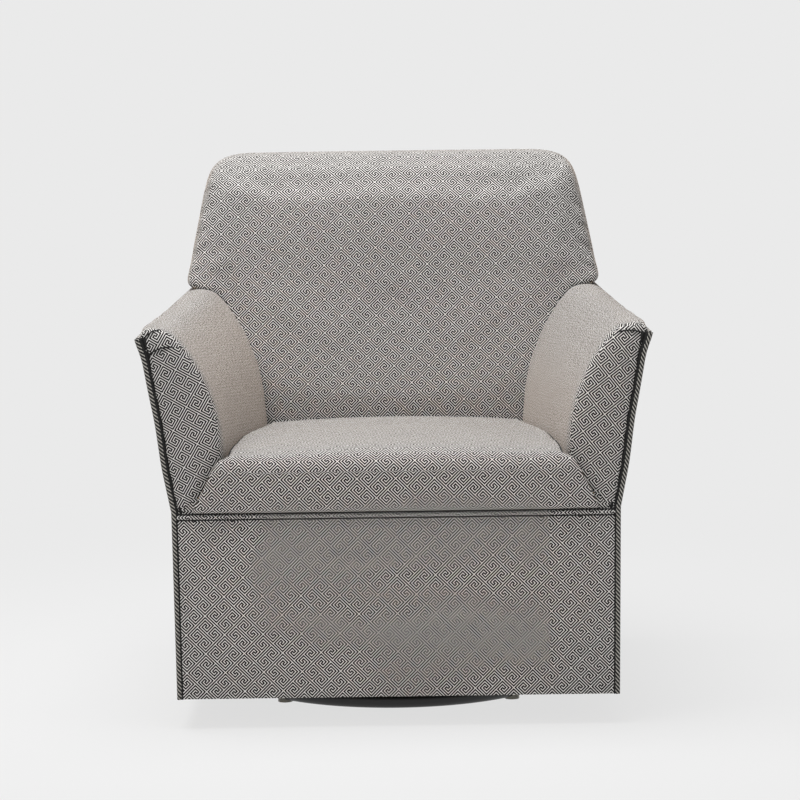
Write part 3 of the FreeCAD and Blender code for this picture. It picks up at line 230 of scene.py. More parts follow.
def rope_cover():
    """The same cloth cut on the bias round a cord, where its keys break up into slanted stripes."""
    finish, tree, shader = new_finish("bias_cut_rope_cover", Roughness=0.85, Sheen_Weight=0.1)
    cloth = add(tree, "SeparateXYZ", {0: add(tree, "UVMap", uv_map="cloth").outputs[0]})
    slant = add(tree, "Math", {0: cloth.outputs[0], 1: cloth.outputs[1]},
                operation="ADD").outputs[0]
    phase = add(tree, "Math", {0: slant, 1: math.tau / STRIPE}, operation="MULTIPLY").outputs[0]
    wave = add(tree, "Math", {0: phase}, operation="SINE").outputs[0]
    stripe = add(tree, "MapRange", {0: wave, 1: 0.35, 2: 0.8, 3: 0.0, 4: 1.0}).outputs[0]
    colour = add(tree, "Mix", {0: stripe, 6: linear(DARK_YARN), 7: linear("#b5b1a9")},
                 data_type="RGBA").outputs[2]
    tree.links.new(colour, shader.inputs["Base Color"])
    relief = add(tree, "Bump", {"Height": wave, "Strength": 0.4, "Distance": 0.5 * MM})
    tree.links.new(relief.outputs[0], shader.inputs["Normal"])
    return finish


rope_fabric = rope_cover()
print("rope cover:", STRIPE, "m from stripe to stripe")

# %% [markdown]
# ## The pads
#
# Seat, back and arms are foam under a tight cover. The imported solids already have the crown, the
# roll at the front and the drawn-in sides, so each pad starts as a copy of its solid. A voxel
# remesh gives it even squares, it is drawn in a little where it shows, and then Blender's cloth
# blows it up against its own tension, as foam fills a cover. What is nailed to the frame is held.

# %% Pad tools
PAD_FOOT = 340 * MM            # height of the pads' nailed feet
VOXEL = 6 * MM
SIM_FRAMES = 20


def cover_copy(solid, name):
    """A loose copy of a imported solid, with its corners merged."""
    mesh = nodes[solid].data.copy()
    mesh.materials.clear()
    piece = bpy.data.objects.new(name, mesh)
    bpy.context.scene.collection.objects.link(piece)
    only(piece)
    bpy.ops.object.mode_set(mode="EDIT")
    bpy.ops.mesh.select_all(action="SELECT")
    bpy.ops.mesh.remove_doubles(threshold=0.02 * MM)
    bpy.ops.mesh.normals_make_consistent(inside=False)
    bpy.ops.object.mode_set(mode="OBJECT")
    return piece


def points_of(piece):
    """The piece's points and their normals, as arrays."""
    count = len(piece.data.vertices)
    points, normals = np.empty(count * 3), np.empty(count * 3)
    piece.data.vertices.foreach_get("co", points)
    piece.data.vertex_normals.foreach_get("vector", normals)
    return points.reshape(-1, 3), normals.reshape(-1, 3)


def move_points(piece, points):
    """Put the piece's points at new places."""
    piece.data.vertices.foreach_set("co", points.ravel())
    piece.data.update()


def smooth_share(value, low, high):
    """A soft step from 0 at low to 1 at high."""
    share = np.clip((value - low) / (high - low), 0, 1)
    return share * share * (3 - 2 * share)


def settle_arm(points):
    """Lift an arm's outer edge a little and let its outside curve inwards below that edge."""
    half = np.abs(points[:, 0])
    lift = 9 * MM * smooth_share(half, 0.362, 0.396) * smooth_share(points[:, 2], 0.50, 0.60)
    waist = smooth_share(points[:, 2], 0.40, 0.50) * (1 - smooth_share(points[:, 2], 0.57, 0.61))
    points[:, 0] -= np.sign(points[:, 0]) * 5 * MM * waist * smooth_share(half, 0.33, 0.36)
    points[:, 2] += lift
    return points


def reach_welt(points):
    """Stretch an arm's front out to the welt along its corner."""
    half = np.abs(points[:, 0])
    outer = np.interp(points[:, 2], (0.340, 0.609), (0.346, 0.399))
    near = smooth_share(half, outer - 0.030, outer - 0.008)
    near = near * smooth_share(-points[:, 1], 0.365, 0.385)
    below = 1 - smooth_share(points[:, 2], 0.607, 0.622)
    points[:, 0] += np.sign(points[:, 0]) * 5.5 * MM * near * below
    return points


def settle_back(points):
    """Lift the rolled top of the back, most of all along its front."""
    rear = smooth_share(points[:, 1], 0.345, 0.405)
    rise = smooth_share(points[:, 2], 0.66, 0.84) * (1 - 0.7 * rear)
    points[:, 2] += 15 * MM * rise
    return points


def crease(piece, lines, width, depth, fold_shade_strength):
    """Press short folds into the front of a pad, and paint shade into their bottoms."""
    points, normals = points_of(piece)
    seam = np.zeros(len(points))
    for start, end in lines:
        start, end = np.array(start), np.array(end)
        step = end - start
        flat = points[:, [0, 2]]
        share = np.clip((flat - start) @ step / (step @ step), 0, 1)
        away = np.linalg.norm(flat - start - share[:, None] * step, axis=1)
        fade = np.sqrt(np.clip(4 * share * (1 - share), 0, 1)) * 0.7 + 0.3
        seam = np.maximum(seam, fade * np.exp(-(away / width) ** 2) * (normals[:, 1] < -0.25))
    move_points(piece, points - normals * (depth * seam)[:, None])
    # Painted shade in the folds' bottoms, where shade falls, kept as the seam attribute.
    layer = piece.data.attributes.new("seam", "FLOAT", "POINT")
    layer.data.foreach_set("value", (fold_shade_strength * seam ** 2).astype(np.float32))


def freedom(points, shows, reach):
    """How freely each point may move: 0 where the cover is nailed, 1 a reach away from there."""
    held = np.flatnonzero(~shows)
    tree = kdtree.KDTree(len(held))
    for index in held:
        tree.insert(points[index], int(index))
    tree.balance()
    away = np.array([tree.find(point)[2] if seen else 0.0 for point, seen in zip(points, shows)])
    return smooth_share(away, 0, reach)


def soften(piece, chosen, rounds, swell_back=False):
    """Smooth the chosen points, which rounds edges, unless each round is followed by a swell."""
    piece.data.vertices.foreach_set("select", chosen)
    bpy.ops.object.mode_set(mode="EDIT")
    for factor in (0.5, -0.52) * rounds if swell_back else (0.5,) * rounds:
        bpy.ops.mesh.vertices_smooth(factor=factor)
    bpy.ops.object.mode_set(mode="OBJECT")


def plump(piece, shows, drawn_in, cap, reach, rounds=2, rounder=None):
    """Draw the shown part in, then let cloth under pressure fill it again."""
    only(piece)
    piece.data.remesh_voxel_size = VOXEL
    bpy.ops.object.voxel_remesh()
    bpy.ops.object.mode_set(mode="EDIT")
    bpy.ops.mesh.select_mode(type="VERT")
    bpy.ops.mesh.select_all(action="DESELECT")
    bpy.ops.object.mode_set(mode="OBJECT")
    soften(piece, np.ones(len(piece.data.vertices), dtype=bool), 3, swell_back=True)
    points, _ = points_of(piece)
    soften(piece, points[:, 2] > PAD_FOOT + 3 * VOXEL, rounds)
    if rounder:
        soften(piece, rounder(points), 30)
    points, normals = points_of(piece)
    free = freedom(points, shows(points, normals), reach)
    start = points - normals * (free * drawn_in)[:, None]
    move_points(piece, start)
    held = piece.vertex_groups.new(name="nailed")
    for index in np.flatnonzero(free < 0.999):
        held.add([int(index)], float(1 - free[index]), "REPLACE")
    cloth = piece.modifiers.new("Cloth", "CLOTH")
    cloth.settings.quality = 5
    cloth.settings.mass = 0.3
    cloth.settings.tension_stiffness = cloth.settings.compression_stiffness = 15
    cloth.settings.shear_stiffness = 5
    cloth.settings.bending_stiffness = 5
    cloth.settings.use_pressure = True
    cloth.settings.uniform_pressure_force = 4
    cloth.settings.vertex_group_mass = held.name
    cloth.settings.effector_weights.gravity = 0
    cloth.point_cache.frame_start, cloth.point_cache.frame_end = 1, SIM_FRAMES
    for step in range(1, SIM_FRAMES + 1):
        bpy.context.scene.frame_set(step)
    bpy.ops.object.modifier_apply(modifier=cloth.name)
    blown, _ = points_of(piece)
    moved = blown - start
    length = np.linalg.norm(moved, axis=1)
    limit = cap * free
    scale = np.where(length > limit, limit / np.maximum(length, 1e-9), 1)
    move_points(piece, start + moved * scale[:, None])
    piece.vertex_groups.clear()
    soften(piece, free > 0.2, 6)
    print(piece.name, "blown out by up to", round(float(length.max()) * 1000, 1), "mm")
    only(piece)
    finer = piece.modifiers.new("Finer", "SUBSURF")
    finer.levels = finer.render_levels = 1
    bpy.ops.object.modifier_apply(modifier=finer.name)
    bpy.ops.object.shade_smooth()
    print(piece.name, len(piece.data.polygons), "faces")


# %% [markdown]
# A weave has to follow the cover and not the room, so every pad gets a map that says where each
# corner of each face lies on the flat cloth, in metres. On the seat and the back the cloth runs
# straight over the crown: across is across, and along is the length of the profile.

# %% Cloth map tools
def corner_data(piece):
    """The place of every face corner, and the normal of its face."""
    mesh = piece.data
    index = np.empty(len(mesh.loops), dtype=int)
    mesh.loops.foreach_get("vertex_index", index)
    points, _ = points_of(piece)
    face_normals = np.empty(len(mesh.polygons) * 3)
    mesh.polygons.foreach_get("normal", face_normals)
    totals = np.empty(len(mesh.polygons), dtype=int)
    mesh.polygons.foreach_get("loop_total", totals)
    return points[index], np.repeat(face_normals.reshape(-1, 3), totals, axis=0)


def along_line(places, line):
    """How far along a line of points, N x M x 2, each place lies, and its distance from it."""
    best = np.full(len(places), 1e9)
    along = np.zeros(len(places))
    run = np.zeros(len(places))
    for start, end in zip(np.moveaxis(line, 1, 0), np.moveaxis(line, 1, 0)[1:]):
        step = end - start
        length = np.linalg.norm(step, axis=1)
        share = np.clip(((places - start) * step).sum(1) / length ** 2, 0, 1)
        away = np.linalg.norm(places - start - step * share[:, None], axis=1)
        nearer = away < best
        along = np.where(nearer, run + share * length, along)
        best = np.where(nearer, away, best)
        run = run + length
    return along, best


def lay_cloth(piece, across, along):
    """Write the cloth map of the piece."""
    layer = piece.data.uv_layers.new(name="cloth")
    layer.uv.foreach_set("vector", np.stack([across, along], 1).astype(np.float32).ravel())
    layer.active = layer.active_render = True


def dress(piece, finish, body="chair"):
    """Give the piece its finish and the body it rides on."""
    piece.data.materials.clear()
    piece.data.materials.append(finish)
    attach(piece, body)


# %% [markdown]
# ### Seat
#
# A tight seat: crowned on top, rolled over in front, and bulging a finger's width ahead of the
# arms.

# %% Seat cushion
seat_profile = np.array([(-395, 335), (-402, 363), (-402, 407), (-392, 426), (-384, 433),
                         (-356, 441), (-200, 452), (160, 430)]) * MM
seat_cushion = cover_copy("seat_pad", "seat_cushion")
plump(seat_cushion, lambda p, n: (n[:, 2] > 0.3) | (n[:, 1] < -0.3), drawn_in=5 * MM, cap=8 * MM,
      reach=70 * MM)
corners, _ = corner_data(seat_cushion)
along, _ = along_line(corners[:, 1:], np.repeat(seat_profile[None], len(corners), 0))
lay_cloth(seat_cushion, corners[:, 0], along)
dress(seat_cushion, fabric)
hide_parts("seat_pad")

# %% [markdown]
# ### Back
#
# A tight back that leans, with a top that rolls to the rear. Its sides show above the arms. Its
# soft top is lifted by up to 15 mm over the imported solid, and short folds are pressed in its sides.

# %% Back cushion
back_profile = np.array([(160, 335), (160, 425), (287, 836), (298, 860), (323, 878), (352, 886),
                         (402, 876)]) * MM
ARM_LEVEL = 648 * MM
back_cushion = cover_copy("back_pad", "back_cushion")
plump(back_cushion,
      lambda p, n: (n[:, 1] < -0.3) | ((n[:, 2] > 0.3) & (p[:, 2] > 0.8))
      | ((np.abs(n[:, 0]) > 0.3) & (n[:, 0] * p[:, 0] > 0) & (p[:, 2] > ARM_LEVEL)),
      drawn_in=4 * MM, cap=7 * MM, reach=60 * MM,
      rounder=lambda p: (np.abs(p[:, 2] - ARM_LEVEL) < 0.05) & (p[:, 1] < 0.26)
      & (np.abs(p[:, 0]) < 0.345))
move_points(back_cushion, settle_back(points_of(back_cushion)[0]))
crease(back_cushion, [((side * 0.362, 0.67 + 0.032 * row), (side * 0.325, 0.69 + 0.032 * row))
                      for side in (1, -1) for row in range(5)],
       width=5 * MM, depth=1.5 * MM, fold_shade_strength=0.25)
corners, faces = corner_data(back_cushion)
along, depth = along_line(corners[:, 1:], np.repeat(back_profile[None], len(corners), 0))
on_side = np.abs(faces[:, 0]) > 0.75
lay_cloth(back_cushion, corners[:, 0] + np.where(on_side, np.sign(corners[:, 0]) * depth, 0), along)
dress(back_cushion, fabric)
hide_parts("back_pad")

# %% [markdown]
# ### Arms
#
# One piece of cloth covers the inside arm and wraps round the front edge on to the arm's front, so
# its map is that of a wrapped sheet: one way is the length up the inside and over the top, the
# other way is the depth from the front edge, and goes on across the front with a minus sign. The
# outer edge of each arm is lifted by 9 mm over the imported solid, and its outside curves in below.

# %% Arm cushions
FRONT, ARM_DEPTH = -390 * MM, 630 * MM
arm_front_line = np.array([(263, 340), (265, 451), (273, 504), (290, 552), (317, 596), (352, 636),
                           (387, 637), (399.5, 618.5), (393, 609)]) * MM
arm_rear_line = np.array([(210, 340), (210, 417), (218, 482), (237, 543), (268, 599), (309, 650),
                          (351, 652), (363.5, 640.5), (357, 630)]) * MM
edge_start, edge_end = arm_front_line[1], arm_front_line[5]
edge_up = (edge_end - edge_start) / np.linalg.norm(edge_end - edge_start)
edge_out = np.array([edge_up[1], -edge_up[0]])
ARM_PLEATS = {
    "left": [((0.364, 0.641), (0.396, 0.628)), ((0.346, 0.616), (0.394, 0.611))],
    "right": [((-0.389, 0.614), (-0.360, 0.628)), ((-0.384, 0.588), (-0.342, 0.602))],
}
arm_cushions = {}
for word, side, finish in (("left", 1, arm_fabric_left), ("right", -1, arm_fabric_right)):
    piece = cover_copy(f"arm_pad_{word}", f"arm_cushion_{word}")
    plump(piece,
          lambda p, n: (n[:, 0] * side < -0.3) | (n[:, 1] < -0.5)
          | ((n[:, 2] > 0.2) & (p[:, 2] > 0.59)),
          drawn_in=4 * MM, cap=6 * MM, reach=45 * MM, rounds=1,
          rounder=lambda p: (p[:, 1] < FRONT + 50 * MM) & (p[:, 2] > 0.40)
          & (p[:, 0] * side < 0.30 + (p[:, 2] - 0.40) * 0.3))
    move_points(piece, settle_arm(reach_welt(points_of(piece)[0])))
    crease(piece, ARM_PLEATS[word], width=4 * MM, depth=1.2 * MM, fold_shade_strength=0.3)
    corners, faces = corner_data(piece)
    section = corners[:, [0, 2]] * (side, 1)
    share = np.clip((corners[:, 1] - FRONT) / ARM_DEPTH, 0, 1)[:, None, None]
    along, _ = along_line(section, arm_front_line[None] * (1 - share) + arm_rear_line[None] * share)
    on_front = faces[:, 1] < -0.7
    out = (section - edge_start) @ edge_out
    up = (section - edge_start) @ edge_up + np.linalg.norm(edge_start - arm_front_line[0])
    lay_cloth(piece, np.where(on_front, -out, corners[:, 1] - FRONT), np.where(on_front, up, along))
    dress(piece, finish)
    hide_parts(f"arm_pad_{word}")
    arm_cushions[word] = piece

# %% [markdown]
# ## Outside panels
#
# Below the seat and outside the arms and back the cloth is stretched flat over board. Each panel is
# a copy of its solid with flat faces joined up and its hard edges rounded by a bevel, as cloth
# rounds the edge of a board.

# %% Panels
EDGE_ROUND = 2.2 * MM


def panel(solid, name, axes, cuts=(), settle=None):
    """A cloth-covered board; axes are the two directions along which the cloth lies."""
    piece = cover_copy(solid, name)
    bpy.ops.object.mode_set(mode="EDIT")
    bpy.ops.mesh.select_all(action="SELECT")
    bpy.ops.mesh.dissolve_limited(angle_limit=math.radians(2))
    for height in cuts:
        bpy.ops.mesh.select_all(action="SELECT")
        bpy.ops.mesh.bisect(plane_co=(0, 0, height), plane_no=(0, 0, 1))
    bpy.ops.object.mode_set(mode="OBJECT")
    if settle:
        move_points(piece, settle(points_of(piece)[0]))
    rounded = piece.modifiers.new("Rounded", "BEVEL")
    rounded.width, rounded.segments = EDGE_ROUND, 3
    rounded.limit_method, rounded.angle_limit = "ANGLE", math.radians(40)
    bpy.ops.object.modifier_apply(modifier=rounded.name)
    bpy.ops.object.shade_smooth_by_angle(angle=math.radians(35))
    corners, _ = corner_data(piece)
    lay_cloth(piece, corners @ np.array(axes[0]), corners @ np.array(axes[1]))
    dress(piece, fabric)
    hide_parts(solid)
    print(name, len(piece.data.polygons), "faces")
    return piece


panel("front_panel", "front_board_cover", ((1, 0, 0), (0, 0, 1)))
ARM_CUTS = np.linspace(0.36, 0.60, 13)
BACK_CUTS = np.linspace(0.66, 0.84, 7)
panel("outside_arm_left", "outside_arm_cover_left", ((0, 1, 0), (0, 0, 1)), ARM_CUTS, settle_arm)
panel("outside_arm_right", "outside_arm_cover_right", ((0, -1, 0), (0, 0, 1)), ARM_CUTS, settle_arm)
panel("outside_back", "outside_back_cover", ((-1, 0, 0), (0, 0, 1)), BACK_CUTS, settle_back)

# %% [markdown]
# ## Welts
#
# A welt is a cord sewn into a strip of the same cloth, cut on the bias, so its keys break up into
# short diagonal stripes. Each welt is a curve with a round bevel, turned into a mesh, and its cloth
# map is its own length and girth.

# %% Welt tools
WELT = 4 * MM                  # half the thickness of a welt


def welt(solid, name, path, weight=WELT, finish=rope_fabric):
    """A covered cord along a path of points, in the place of a packed one if it names it."""
    line = bpy.data.curves.new(name, "CURVE")
    line.dimensions = "3D"
    line.bevel_depth, line.bevel_resolution = weight, 4
    line.use_fill_caps = True
    spline = line.splines.new("POLY")
    spline.points.add(len(path) - 1)
    for point, place in zip(spline.points, path):
        point.co = (*place, 1)
    piece = bpy.data.objects.new(name, line)
    bpy.context.scene.collection.objects.link(piece)
    only(piece)
    bpy.ops.object.convert(target="MESH")
    piece = bpy.context.view_layer.objects.active
    bpy.ops.object.shade_smooth()
    corners, _ = corner_data(piece)
    line_points = np.array(path)
    best = np.full(len(corners), 1e9)
    along, around = np.zeros(len(corners)), np.zeros(len(corners))
    run = 0.0
    for start, end in zip(line_points, line_points[1:]):
        step = end - start
        length = np.linalg.norm(step)
        share = np.clip((corners - start) @ step / length ** 2, 0, 1)
        foot = start + share[:, None] * step
        away = np.linalg.norm(corners - foot, axis=1)
        outward = (corners - foot) / np.maximum(away, 1e-9)[:, None]
        other_axis = (0, 0, 1) if abs(step[2]) < 0.9 * length else (0, 1, 0)
        side_way = np.cross(step / length, other_axis)
        other_way = np.cross(step / length, side_way)
        turn = np.arctan2(outward @ other_way, outward @ side_way)
        nearer = away < best - 1e-7
        along = np.where(nearer, run + share * length, along)
        around = np.where(nearer, turn * weight, around)
        best = np.where(nearer, away, best)
        run += length
    lay_cloth(piece, along, around)
    dress(piece, finish)
    if solid:
        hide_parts(solid)
    print(name, round(run, 3), "m long")
    return piece


def eased(path, rounds=3):
    """A path whose corners are cut again and again, until they are round."""
    for _ in range(rounds):
        cut = [path[0]]
        for start, end in zip(path, path[1:]):
            cut += [start.lerp(end, 0.25), start.lerp(end, 0.75)]
        path = cut + [path[-1]]
    return path


def finely(path, step=10 * MM):
    """The same path with points no further apart than a step."""
    fine = [path[0]]
    for start, end in zip(path, path[1:]):
        pieces = math.ceil((end - start).length / step)
        fine += [start.lerp(end, number / pieces) for number in range(1, pieces + 1)]
    return fine


def box_middle(solid):
    """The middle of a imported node's box."""
    low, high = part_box(solid)
    return (low + high) / 2


# %% [markdown]
# ### Shade cords
#
# Near-black cords paint the shade in the folds at the arms' fronts, and in the crevices where
# arms, seat and back meet. Straight lines are shot at a pad, and a cord lies where they strike it.
# One that strikes nothing is left out, and says so.

# %% Shade cords
SHADE_CORD, BACK_SHADE_CORD, SEAT_SHADE_CORD, CORNER_SHADE_CORD = 1.1 * MM, 1.4 * MM, 1.3 * MM, 1.2 * MM
PLEAT_STEPS, PLEAT_BOW = 12, 5 * MM
SEAT_FRONT, SEAT_REAR = -0.384, 0.14
# Painted shade: near-black cords stand in for the shade in folds and in crevices between pads.
painted_shade_cord = new_finish("painted_shade_cord", Base_Color=linear("#0b0b0b"), Roughness=0.9)[0]


def struck(piece, start, way):
    """Where a straight line first meets a pad, or None."""
    met, place, _, _ = piece.ray_cast(Vector(start), Vector(way))
    return place if met else None


def shade_cord(name, places, weight=SHADE_CORD):
    """A near-black cord of painted shade through those places that were found."""
    found = [tuple(place) for place in places if place]
    if len(found) < 2:
        print(name, "isn't made, because its line meets no pad")
        return None
    return welt(None, name, found, weight, painted_shade_cord)


def seat_side(y):
    """How far from the middle the seam between seat and arm runs, at a depth."""
    return 0.2646 - 0.0755 * (y - SEAT_FRONT) - 5 * MM


for word, side in (("left", 1), ("right", -1)):
    for number, (start, end) in enumerate(ARM_PLEATS[word], start=1):
        bow = [Vector(start).lerp(Vector(end), t / PLEAT_STEPS)
               + Vector((0, PLEAT_BOW * math.sin(math.pi * t / PLEAT_STEPS)))
               for t in range(PLEAT_STEPS + 1)]
        shade_cord(f"arm_pleat_shade_{word}_{number}",
               [struck(arm_cushions[word], (x, -0.5, z), (0, 1, 0)) for x, z in bow])
    seam = []
    for z in np.linspace(0.445, 0.640, 24):
        y = np.interp(z, back_profile[:, 1], back_profile[:, 0])
        share = (y - FRONT) / ARM_DEPTH
        inner = arm_front_line[1:6] * (1 - share) + arm_rear_line[1:6] * share
        x = np.interp(z, inner[:, 1], inner[:, 0]) - 3 * MM
        y = struck(back_cushion, (side * x, -0.5, z), (0, 1, 0)).y - 2 * MM
        seam.append(struck(arm_cushions[word], (0, y, z), (side, 0, 0)))
    seam = [place for place in seam if place]
    over = [struck(arm_cushions[word], (side * x, seam[-1].y, 0.9), (0, 0, -1))
            for x in np.linspace(abs(seam[-1].x) + 6 * MM, 0.360, 8)]
    shade_cord(f"arm_back_seam_shade_{word}", seam + over, BACK_SHADE_CORD)
    shade_cord(f"seat_seam_shade_{word}",
           [struck(seat_cushion, (side * seat_side(y), y, 0.6), (0, 0, -1))
            for y in np.linspace(SEAT_FRONT, SEAT_REAR, 40)], SEAT_SHADE_CORD)
seam = []
for x in np.linspace(-0.215, 0.215, 50):
    y = struck(back_cushion, (x, -0.5, 0.47), (0, 1, 0)).y - 3 * MM
    seam.append(struck(seat_cushion, (x, y, 0.6), (0, 0, -1)))
shade_cord("seat_back_seam_shade", seam, SEAT_SHADE_CORD)

# %% [markdown]
# ### Front welt
#
# The welt along the seat's foot, with a near-black cord of painted shade in the crevice above and
# below it, and cloth behind it.

# %% Front welt
low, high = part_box("front_welt")
middle = box_middle("front_welt")
across = np.linspace(low.x, high.x, 60)
welt("front_welt", "front_welt_cord", [(x, middle.y, middle.z) for x in across], finish=fabric)
# Painted shade: near-black cords in the crevices above and below the welt.
for word, way in (("upper", 1), ("lower", -1)):
    welt(None, f"front_welt_seam_shade_{word}",
         [(x, middle.y - 2 * MM, middle.z + way * 4.6 * MM) for x in across],
         weight=SHADE_CORD, finish=painted_shade_cord)
bpy.ops.mesh.primitive_cube_add(size=1, location=(0, middle.y + 2.4 * MM, middle.z + 11 * MM))
flange = bpy.context.object
flange.name = "front_welt_flange"
flange.scale = (high.x - low.x, 2.4 * MM, 36 * MM)
bpy.ops.object.transform_apply(location=True, rotation=True, scale=True)
corners, _ = corner_data(flange)
lay_cloth(flange, corners[:, 0], corners[:, 2])
dress(flange, fabric)

# %% [markdown]
# ### Corner welts
#
# The welts up the front corners, each with a near-black cord of painted shade in the crevice beside
# it and two more in the gap behind it, which lies in shade.

# %% Corner welts
CORNER_LINE = ((0.343, 0.048), (0.346, 0.344), (0.3976, 0.607))
for word, side in (("left", 1), ("right", -1)):
    y = box_middle(f"corner_welt_{word}").y
    path = settle_arm(np.array(finely([Vector((side * x, y, z)) for x, z in CORNER_LINE])))
    welt(f"corner_welt_{word}", f"corner_welt_cord_{word}", [tuple(p) for p in path])
    # Painted shade: two near-black cords fill the gap behind the welt, where shade falls.
    for number, inward in enumerate((5, 11), start=1):
        behind = path[path[:, 2] > 0.33] + (-side * inward * MM, 4.5 * MM, 0)
        welt(None, f"corner_welt_gap_shade_{word}_{number}", [tuple(p) for p in behind], WELT,
             painted_shade_cord)
    # Painted shade: a near-black cord in the crevice beside the welt.
    beside = path + (-side * 4.8 * MM, -1.5 * MM, 0)
    welt(None, f"corner_welt_seam_shade_{word}", [tuple(p) for p in beside], CORNER_SHADE_CORD,
         painted_shade_cord)

# %% [markdown]
# ### Back welt
#
# One cord runs round the outside back, from hem to hem over the rolled top.

# %% Back welt
HEM, TOP = 0.048, 0.870
REAR_AT_HEM, REAR_RUN = 0.328, 0.4003 - 0.330
BACK_EDGE = [(0.343, 0.048), (0.346, 0.336), (0.362, 0.648), (0.329, 0.822), (0.317, 0.848),
             (0.291, 0.860), (0, 0.868)]


def back_rear(height):
    """How far behind the axis the cord of the outside back runs, at a height."""
    return REAR_AT_HEM + (height - HEM) * REAR_RUN / (TOP - HEM)


edge = BACK_EDGE + [(-x, z) for x, z in BACK_EDGE[-2::-1]]
path = finely(eased([Vector((x, back_rear(z), z)) for x, z in edge]))
welt("back_welt", "back_welt_cord", [tuple(p) for p in settle_back(np.array(path))])

# %% [markdown]
# ## Finishes of what is under the cover
#
# Most of it hides under the hem, but a chair is turned over in a workshop. Each finish starts from
# what the metal, wood or plastic is.

# %% Steel, nylon, wood and cloth finishes
def plain_finish(name, colour, other, scale, bump_scale, bump, **surface):
    """Two tones of a colour mixed by noise, with a bump of its own scale."""
    finish, tree, shader = new_finish(name, **surface)
    point = add(tree, "TexCoord").outputs["Object"]
    patches = add(tree, "TexNoise", {"Vector": point, "Scale": scale, "Detail": 4.0}).outputs[0]
    tone = add(tree, "Mix", {0: patches, 6: linear(colour), 7: linear(other)},
               data_type="RGBA").outputs[2]
    tree.links.new(tone, shader.inputs["Base Color"])
    grain = add(tree, "TexNoise", {"Vector": point, "Scale": bump_scale, "Detail": 2.0}).outputs[0]
    relief = add(tree, "Bump", {"Height": grain, "Strength": bump, "Distance": 0.2 * MM})
    tree.links.new(relief.outputs[0], shader.inputs["Normal"])
    return finish


finishes = {
    "black_steel": plain_finish("black_powder_coat", "#0d0d0e", "#161617", 14, 900, 0.35,
                                Roughness=0.42, Metallic=0.0, IOR=1.5),
    "zinc_steel": plain_finish("zinc_plate", "#b9bcbe", "#a4a8ab", 60, 400, 0.1,
                                Roughness=0.32, Metallic=1.0),
    "spring_steel": plain_finish("oiled_spring_wire", "#5d5e62", "#46474b", 50, 300, 0.1,
                                 Roughness=0.35, Metallic=1.0),
    "nylon": plain_finish("moulded_nylon", "#d9d6cc", "#cfccc0", 30, 500, 0.15,
                          Roughness=0.45, IOR=1.53),
    "black_cloth": plain_finish("black_cambric", "#131313", "#1e1e1e", 300, 1200, 0.5,
                                Roughness=0.95),
    "felt": plain_finish("grey_felt", "#8b857c", "#6e6962", 220, 700, 0.6,
                          Roughness=1.0, Sheen_Weight=0.2),
    "frame_wood": plain_finish("sawn_birch", "#c9a878", "#a9855a", 12, 300, 0.4,
                               Roughness=0.7, IOR=1.5),
    "key_fabric": fabric, "padded_cover": fabric,
}
for row in frame["record"]["subparts"]:
    packed = nodes[row["node"]]
    for holder in packed.material_slots:
        holder.material = finishes[row["material_slot"]]
print(len(finishes), "finishes on", len(nodes), "packed nodes")

# %% [markdown]
# ## Coil springs
#
# The four coil springs stand between the turning bed and the rocking hangers. Each is copied in
# spring steel, and the imported one is hidden.

# %% Coil springs
for row, place in (("front", -120 * MM), ("rear", 120 * MM)):
    coils = cover_copy(f"springs_{row}", f"coil_springs_{row}")
    coils.data.materials.append(finishes["spring_steel"])
    bpy.ops.object.shade_smooth()
    low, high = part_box(f"springs_{row}")
    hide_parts(f"springs_{row}")
    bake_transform(coils)
    print(coils.name, len(coils.data.polygons), "faces")

# %% [markdown]
# ## Studio
#
# A pale floor and one flat background colour. For the camera the floor is mostly the background
# colour itself, so that it has no visible edge, and near the chair a share of it is plain white
# paint, which keeps the chair's shadow.

# %% Floor and world
BACKGROUND = "#eaeaea"


def seen_sharply(tree):
    """1 for rays from the camera and for glossy or transmitted ones, or else 0."""
    rays = add(tree, "LightPath")
    sharp = add(tree, "Math", {0: rays.outputs["Is Glossy Ray"],
                               1: rays.outputs["Is Transmission Ray"]},
                operation="MAXIMUM").outputs[0]
    return add(tree, "Math", {0: rays.outputs["Is Camera Ray"], 1: sharp},
               operation="MAXIMUM").outputs[0]


bpy.ops.object.select_all(action="DESELECT")
bpy.ops.mesh.primitive_plane_add(size=30, location=(0, 0, 0))
floor = bpy.context.object
floor.name = "studio_floor"
floor_paint = bpy.data.materials.new("studio_floor_paint")
floor_paint.use_nodes = True
tree = floor_paint.node_tree
tree.nodes.clear()
paint = add(tree, "BsdfDiffuse", {"Color": linear("#e6e6e6")}).outputs[0]
glow = add(tree, "Emission", {"Color": linear(BACKGROUND), "Strength": 1.0}).outputs[0]
point = add(tree, "TexCoord").outputs["Object"]
radius = add(tree, "VectorMath", {0: point}, operation="LENGTH").outputs["Value"]
near = add(tree, "MapRange", {0: radius, 1: 0.5, 2: 2.2, 3: 0.14, 4: 0.0},
           interpolation_type="SMOOTHSTEP").outputs[0]
seen_floor = add(tree, "MixShader", {0: near, 1: glow, 2: paint}).outputs[0]
mixed = add(tree, "MixShader", {0: seen_sharply(tree), 1: paint, 2: seen_floor}).outputs[0]
add(tree, "OutputMaterial", {"Surface": mixed})
floor.data.materials.append(floor_paint)

world = bpy.data.worlds.new("studio_air")
world.use_nodes = True
bpy.context.scene.world = world
tree = world.node_tree
tree.nodes.clear()
air = add(tree, "Background", {"Color": linear("#ffffff"), "Strength": 0.27}).outputs[0]
backdrop = add(tree, "Background", {"Color": linear(BACKGROUND), "Strength": 1.0}).outputs[0]
mixed = add(tree, "MixShader", {0: seen_sharply(tree), 1: air, 2: backdrop}).outputs[0]
add(tree, "OutputWorld", {"Surface": mixed})
print("floor and world in", BACKGROUND)

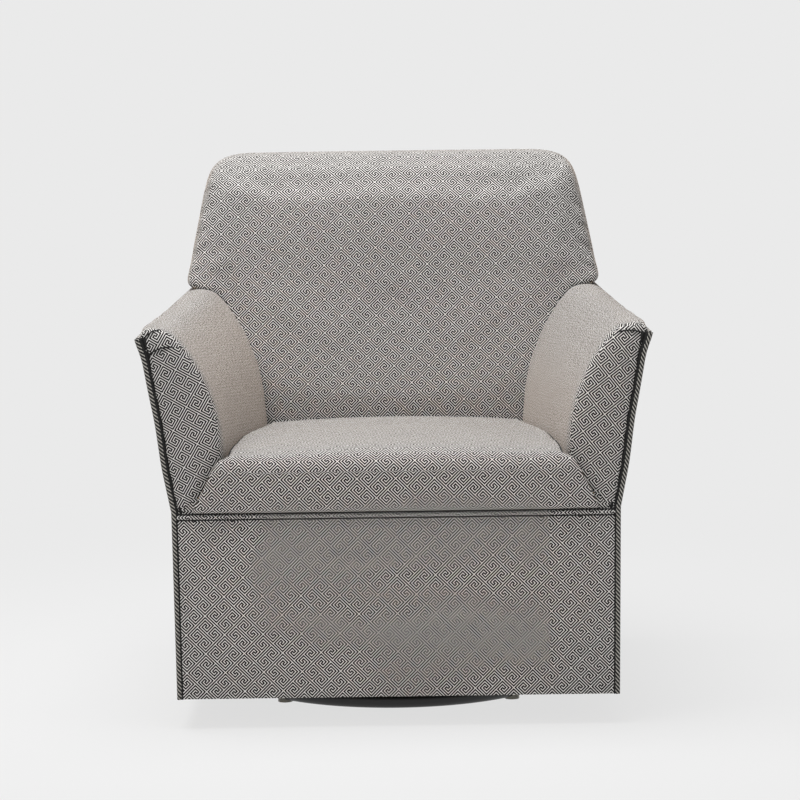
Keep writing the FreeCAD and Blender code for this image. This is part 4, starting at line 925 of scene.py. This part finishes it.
# %% [markdown]
# Large soft lamps: a strong one overhead, a weak one in front, and a weaker one at the side. The
# first two stand a little to the viewer's left, the third at the viewer's right.

# %% Lamps
def lamp(name, place, target, size, power):
    """A square area lamp that points at a target."""
    light = bpy.data.lights.new(name, "AREA")
    light.shape, light.size, light.energy = "SQUARE", size, power
    holder = bpy.data.objects.new(name, light)
    bpy.context.scene.collection.objects.link(holder)
    holder.location = place
    holder.rotation_euler = (Vector(target) - Vector(place)).to_track_quat("-Z", "Y").to_euler()
    print(name, power, "W")


lamp("overhead_softbox", (-0.5, -0.2, 3.2), (0, -0.1, 0.5), 2.4, 150)
lamp("front_softbox", (-1.6, -3.6, 1.7), (0, 0, 0.5), 2.2, 20)
lamp("side_softbox", (3.0, -1.6, 1.6), (0, 0, 0.5), 2.0, 12)

# %% [markdown]
# ## Camera
#
# The camera stands 4.6 m in front of the chair, a little above the seat, and looks down by six
# degrees. Its place and lens come from fitting points measured in the photograph.

# %% Camera
IMAGE_WIDTH = 800
FOCAL_PIXELS = 2987.6
SENSOR = 36.0
PITCH, YAW, ROLL = (math.radians(angle) for angle in (6.308, 0.080, -0.784))
CAMERA_PLACE = (0.002, -0.39 - 4.6, 1.024)
forward = Vector((math.sin(YAW) * math.cos(PITCH), math.cos(YAW) * math.cos(PITCH),
                  -math.sin(PITCH)))
level = Vector((math.cos(YAW), -math.sin(YAW), 0))
above = level.cross(forward)
right = level * math.cos(ROLL) + above * math.sin(ROLL)
top = above * math.cos(ROLL) - level * math.sin(ROLL)
lens = bpy.data.cameras.new("photo_camera")
lens.sensor_width, lens.lens = SENSOR, FOCAL_PIXELS / IMAGE_WIDTH * SENSOR
camera = bpy.data.objects.new("photo_camera", lens)
bpy.context.scene.collection.objects.link(camera)
axes = Matrix((right, top, -forward)).transposed().to_4x4()
camera.matrix_world = Matrix.Translation(CAMERA_PLACE) @ axes
bpy.context.scene.camera = camera
bpy.context.scene.view_settings.view_transform = "Standard"
print("lens", round(lens.lens, 1), "mm")
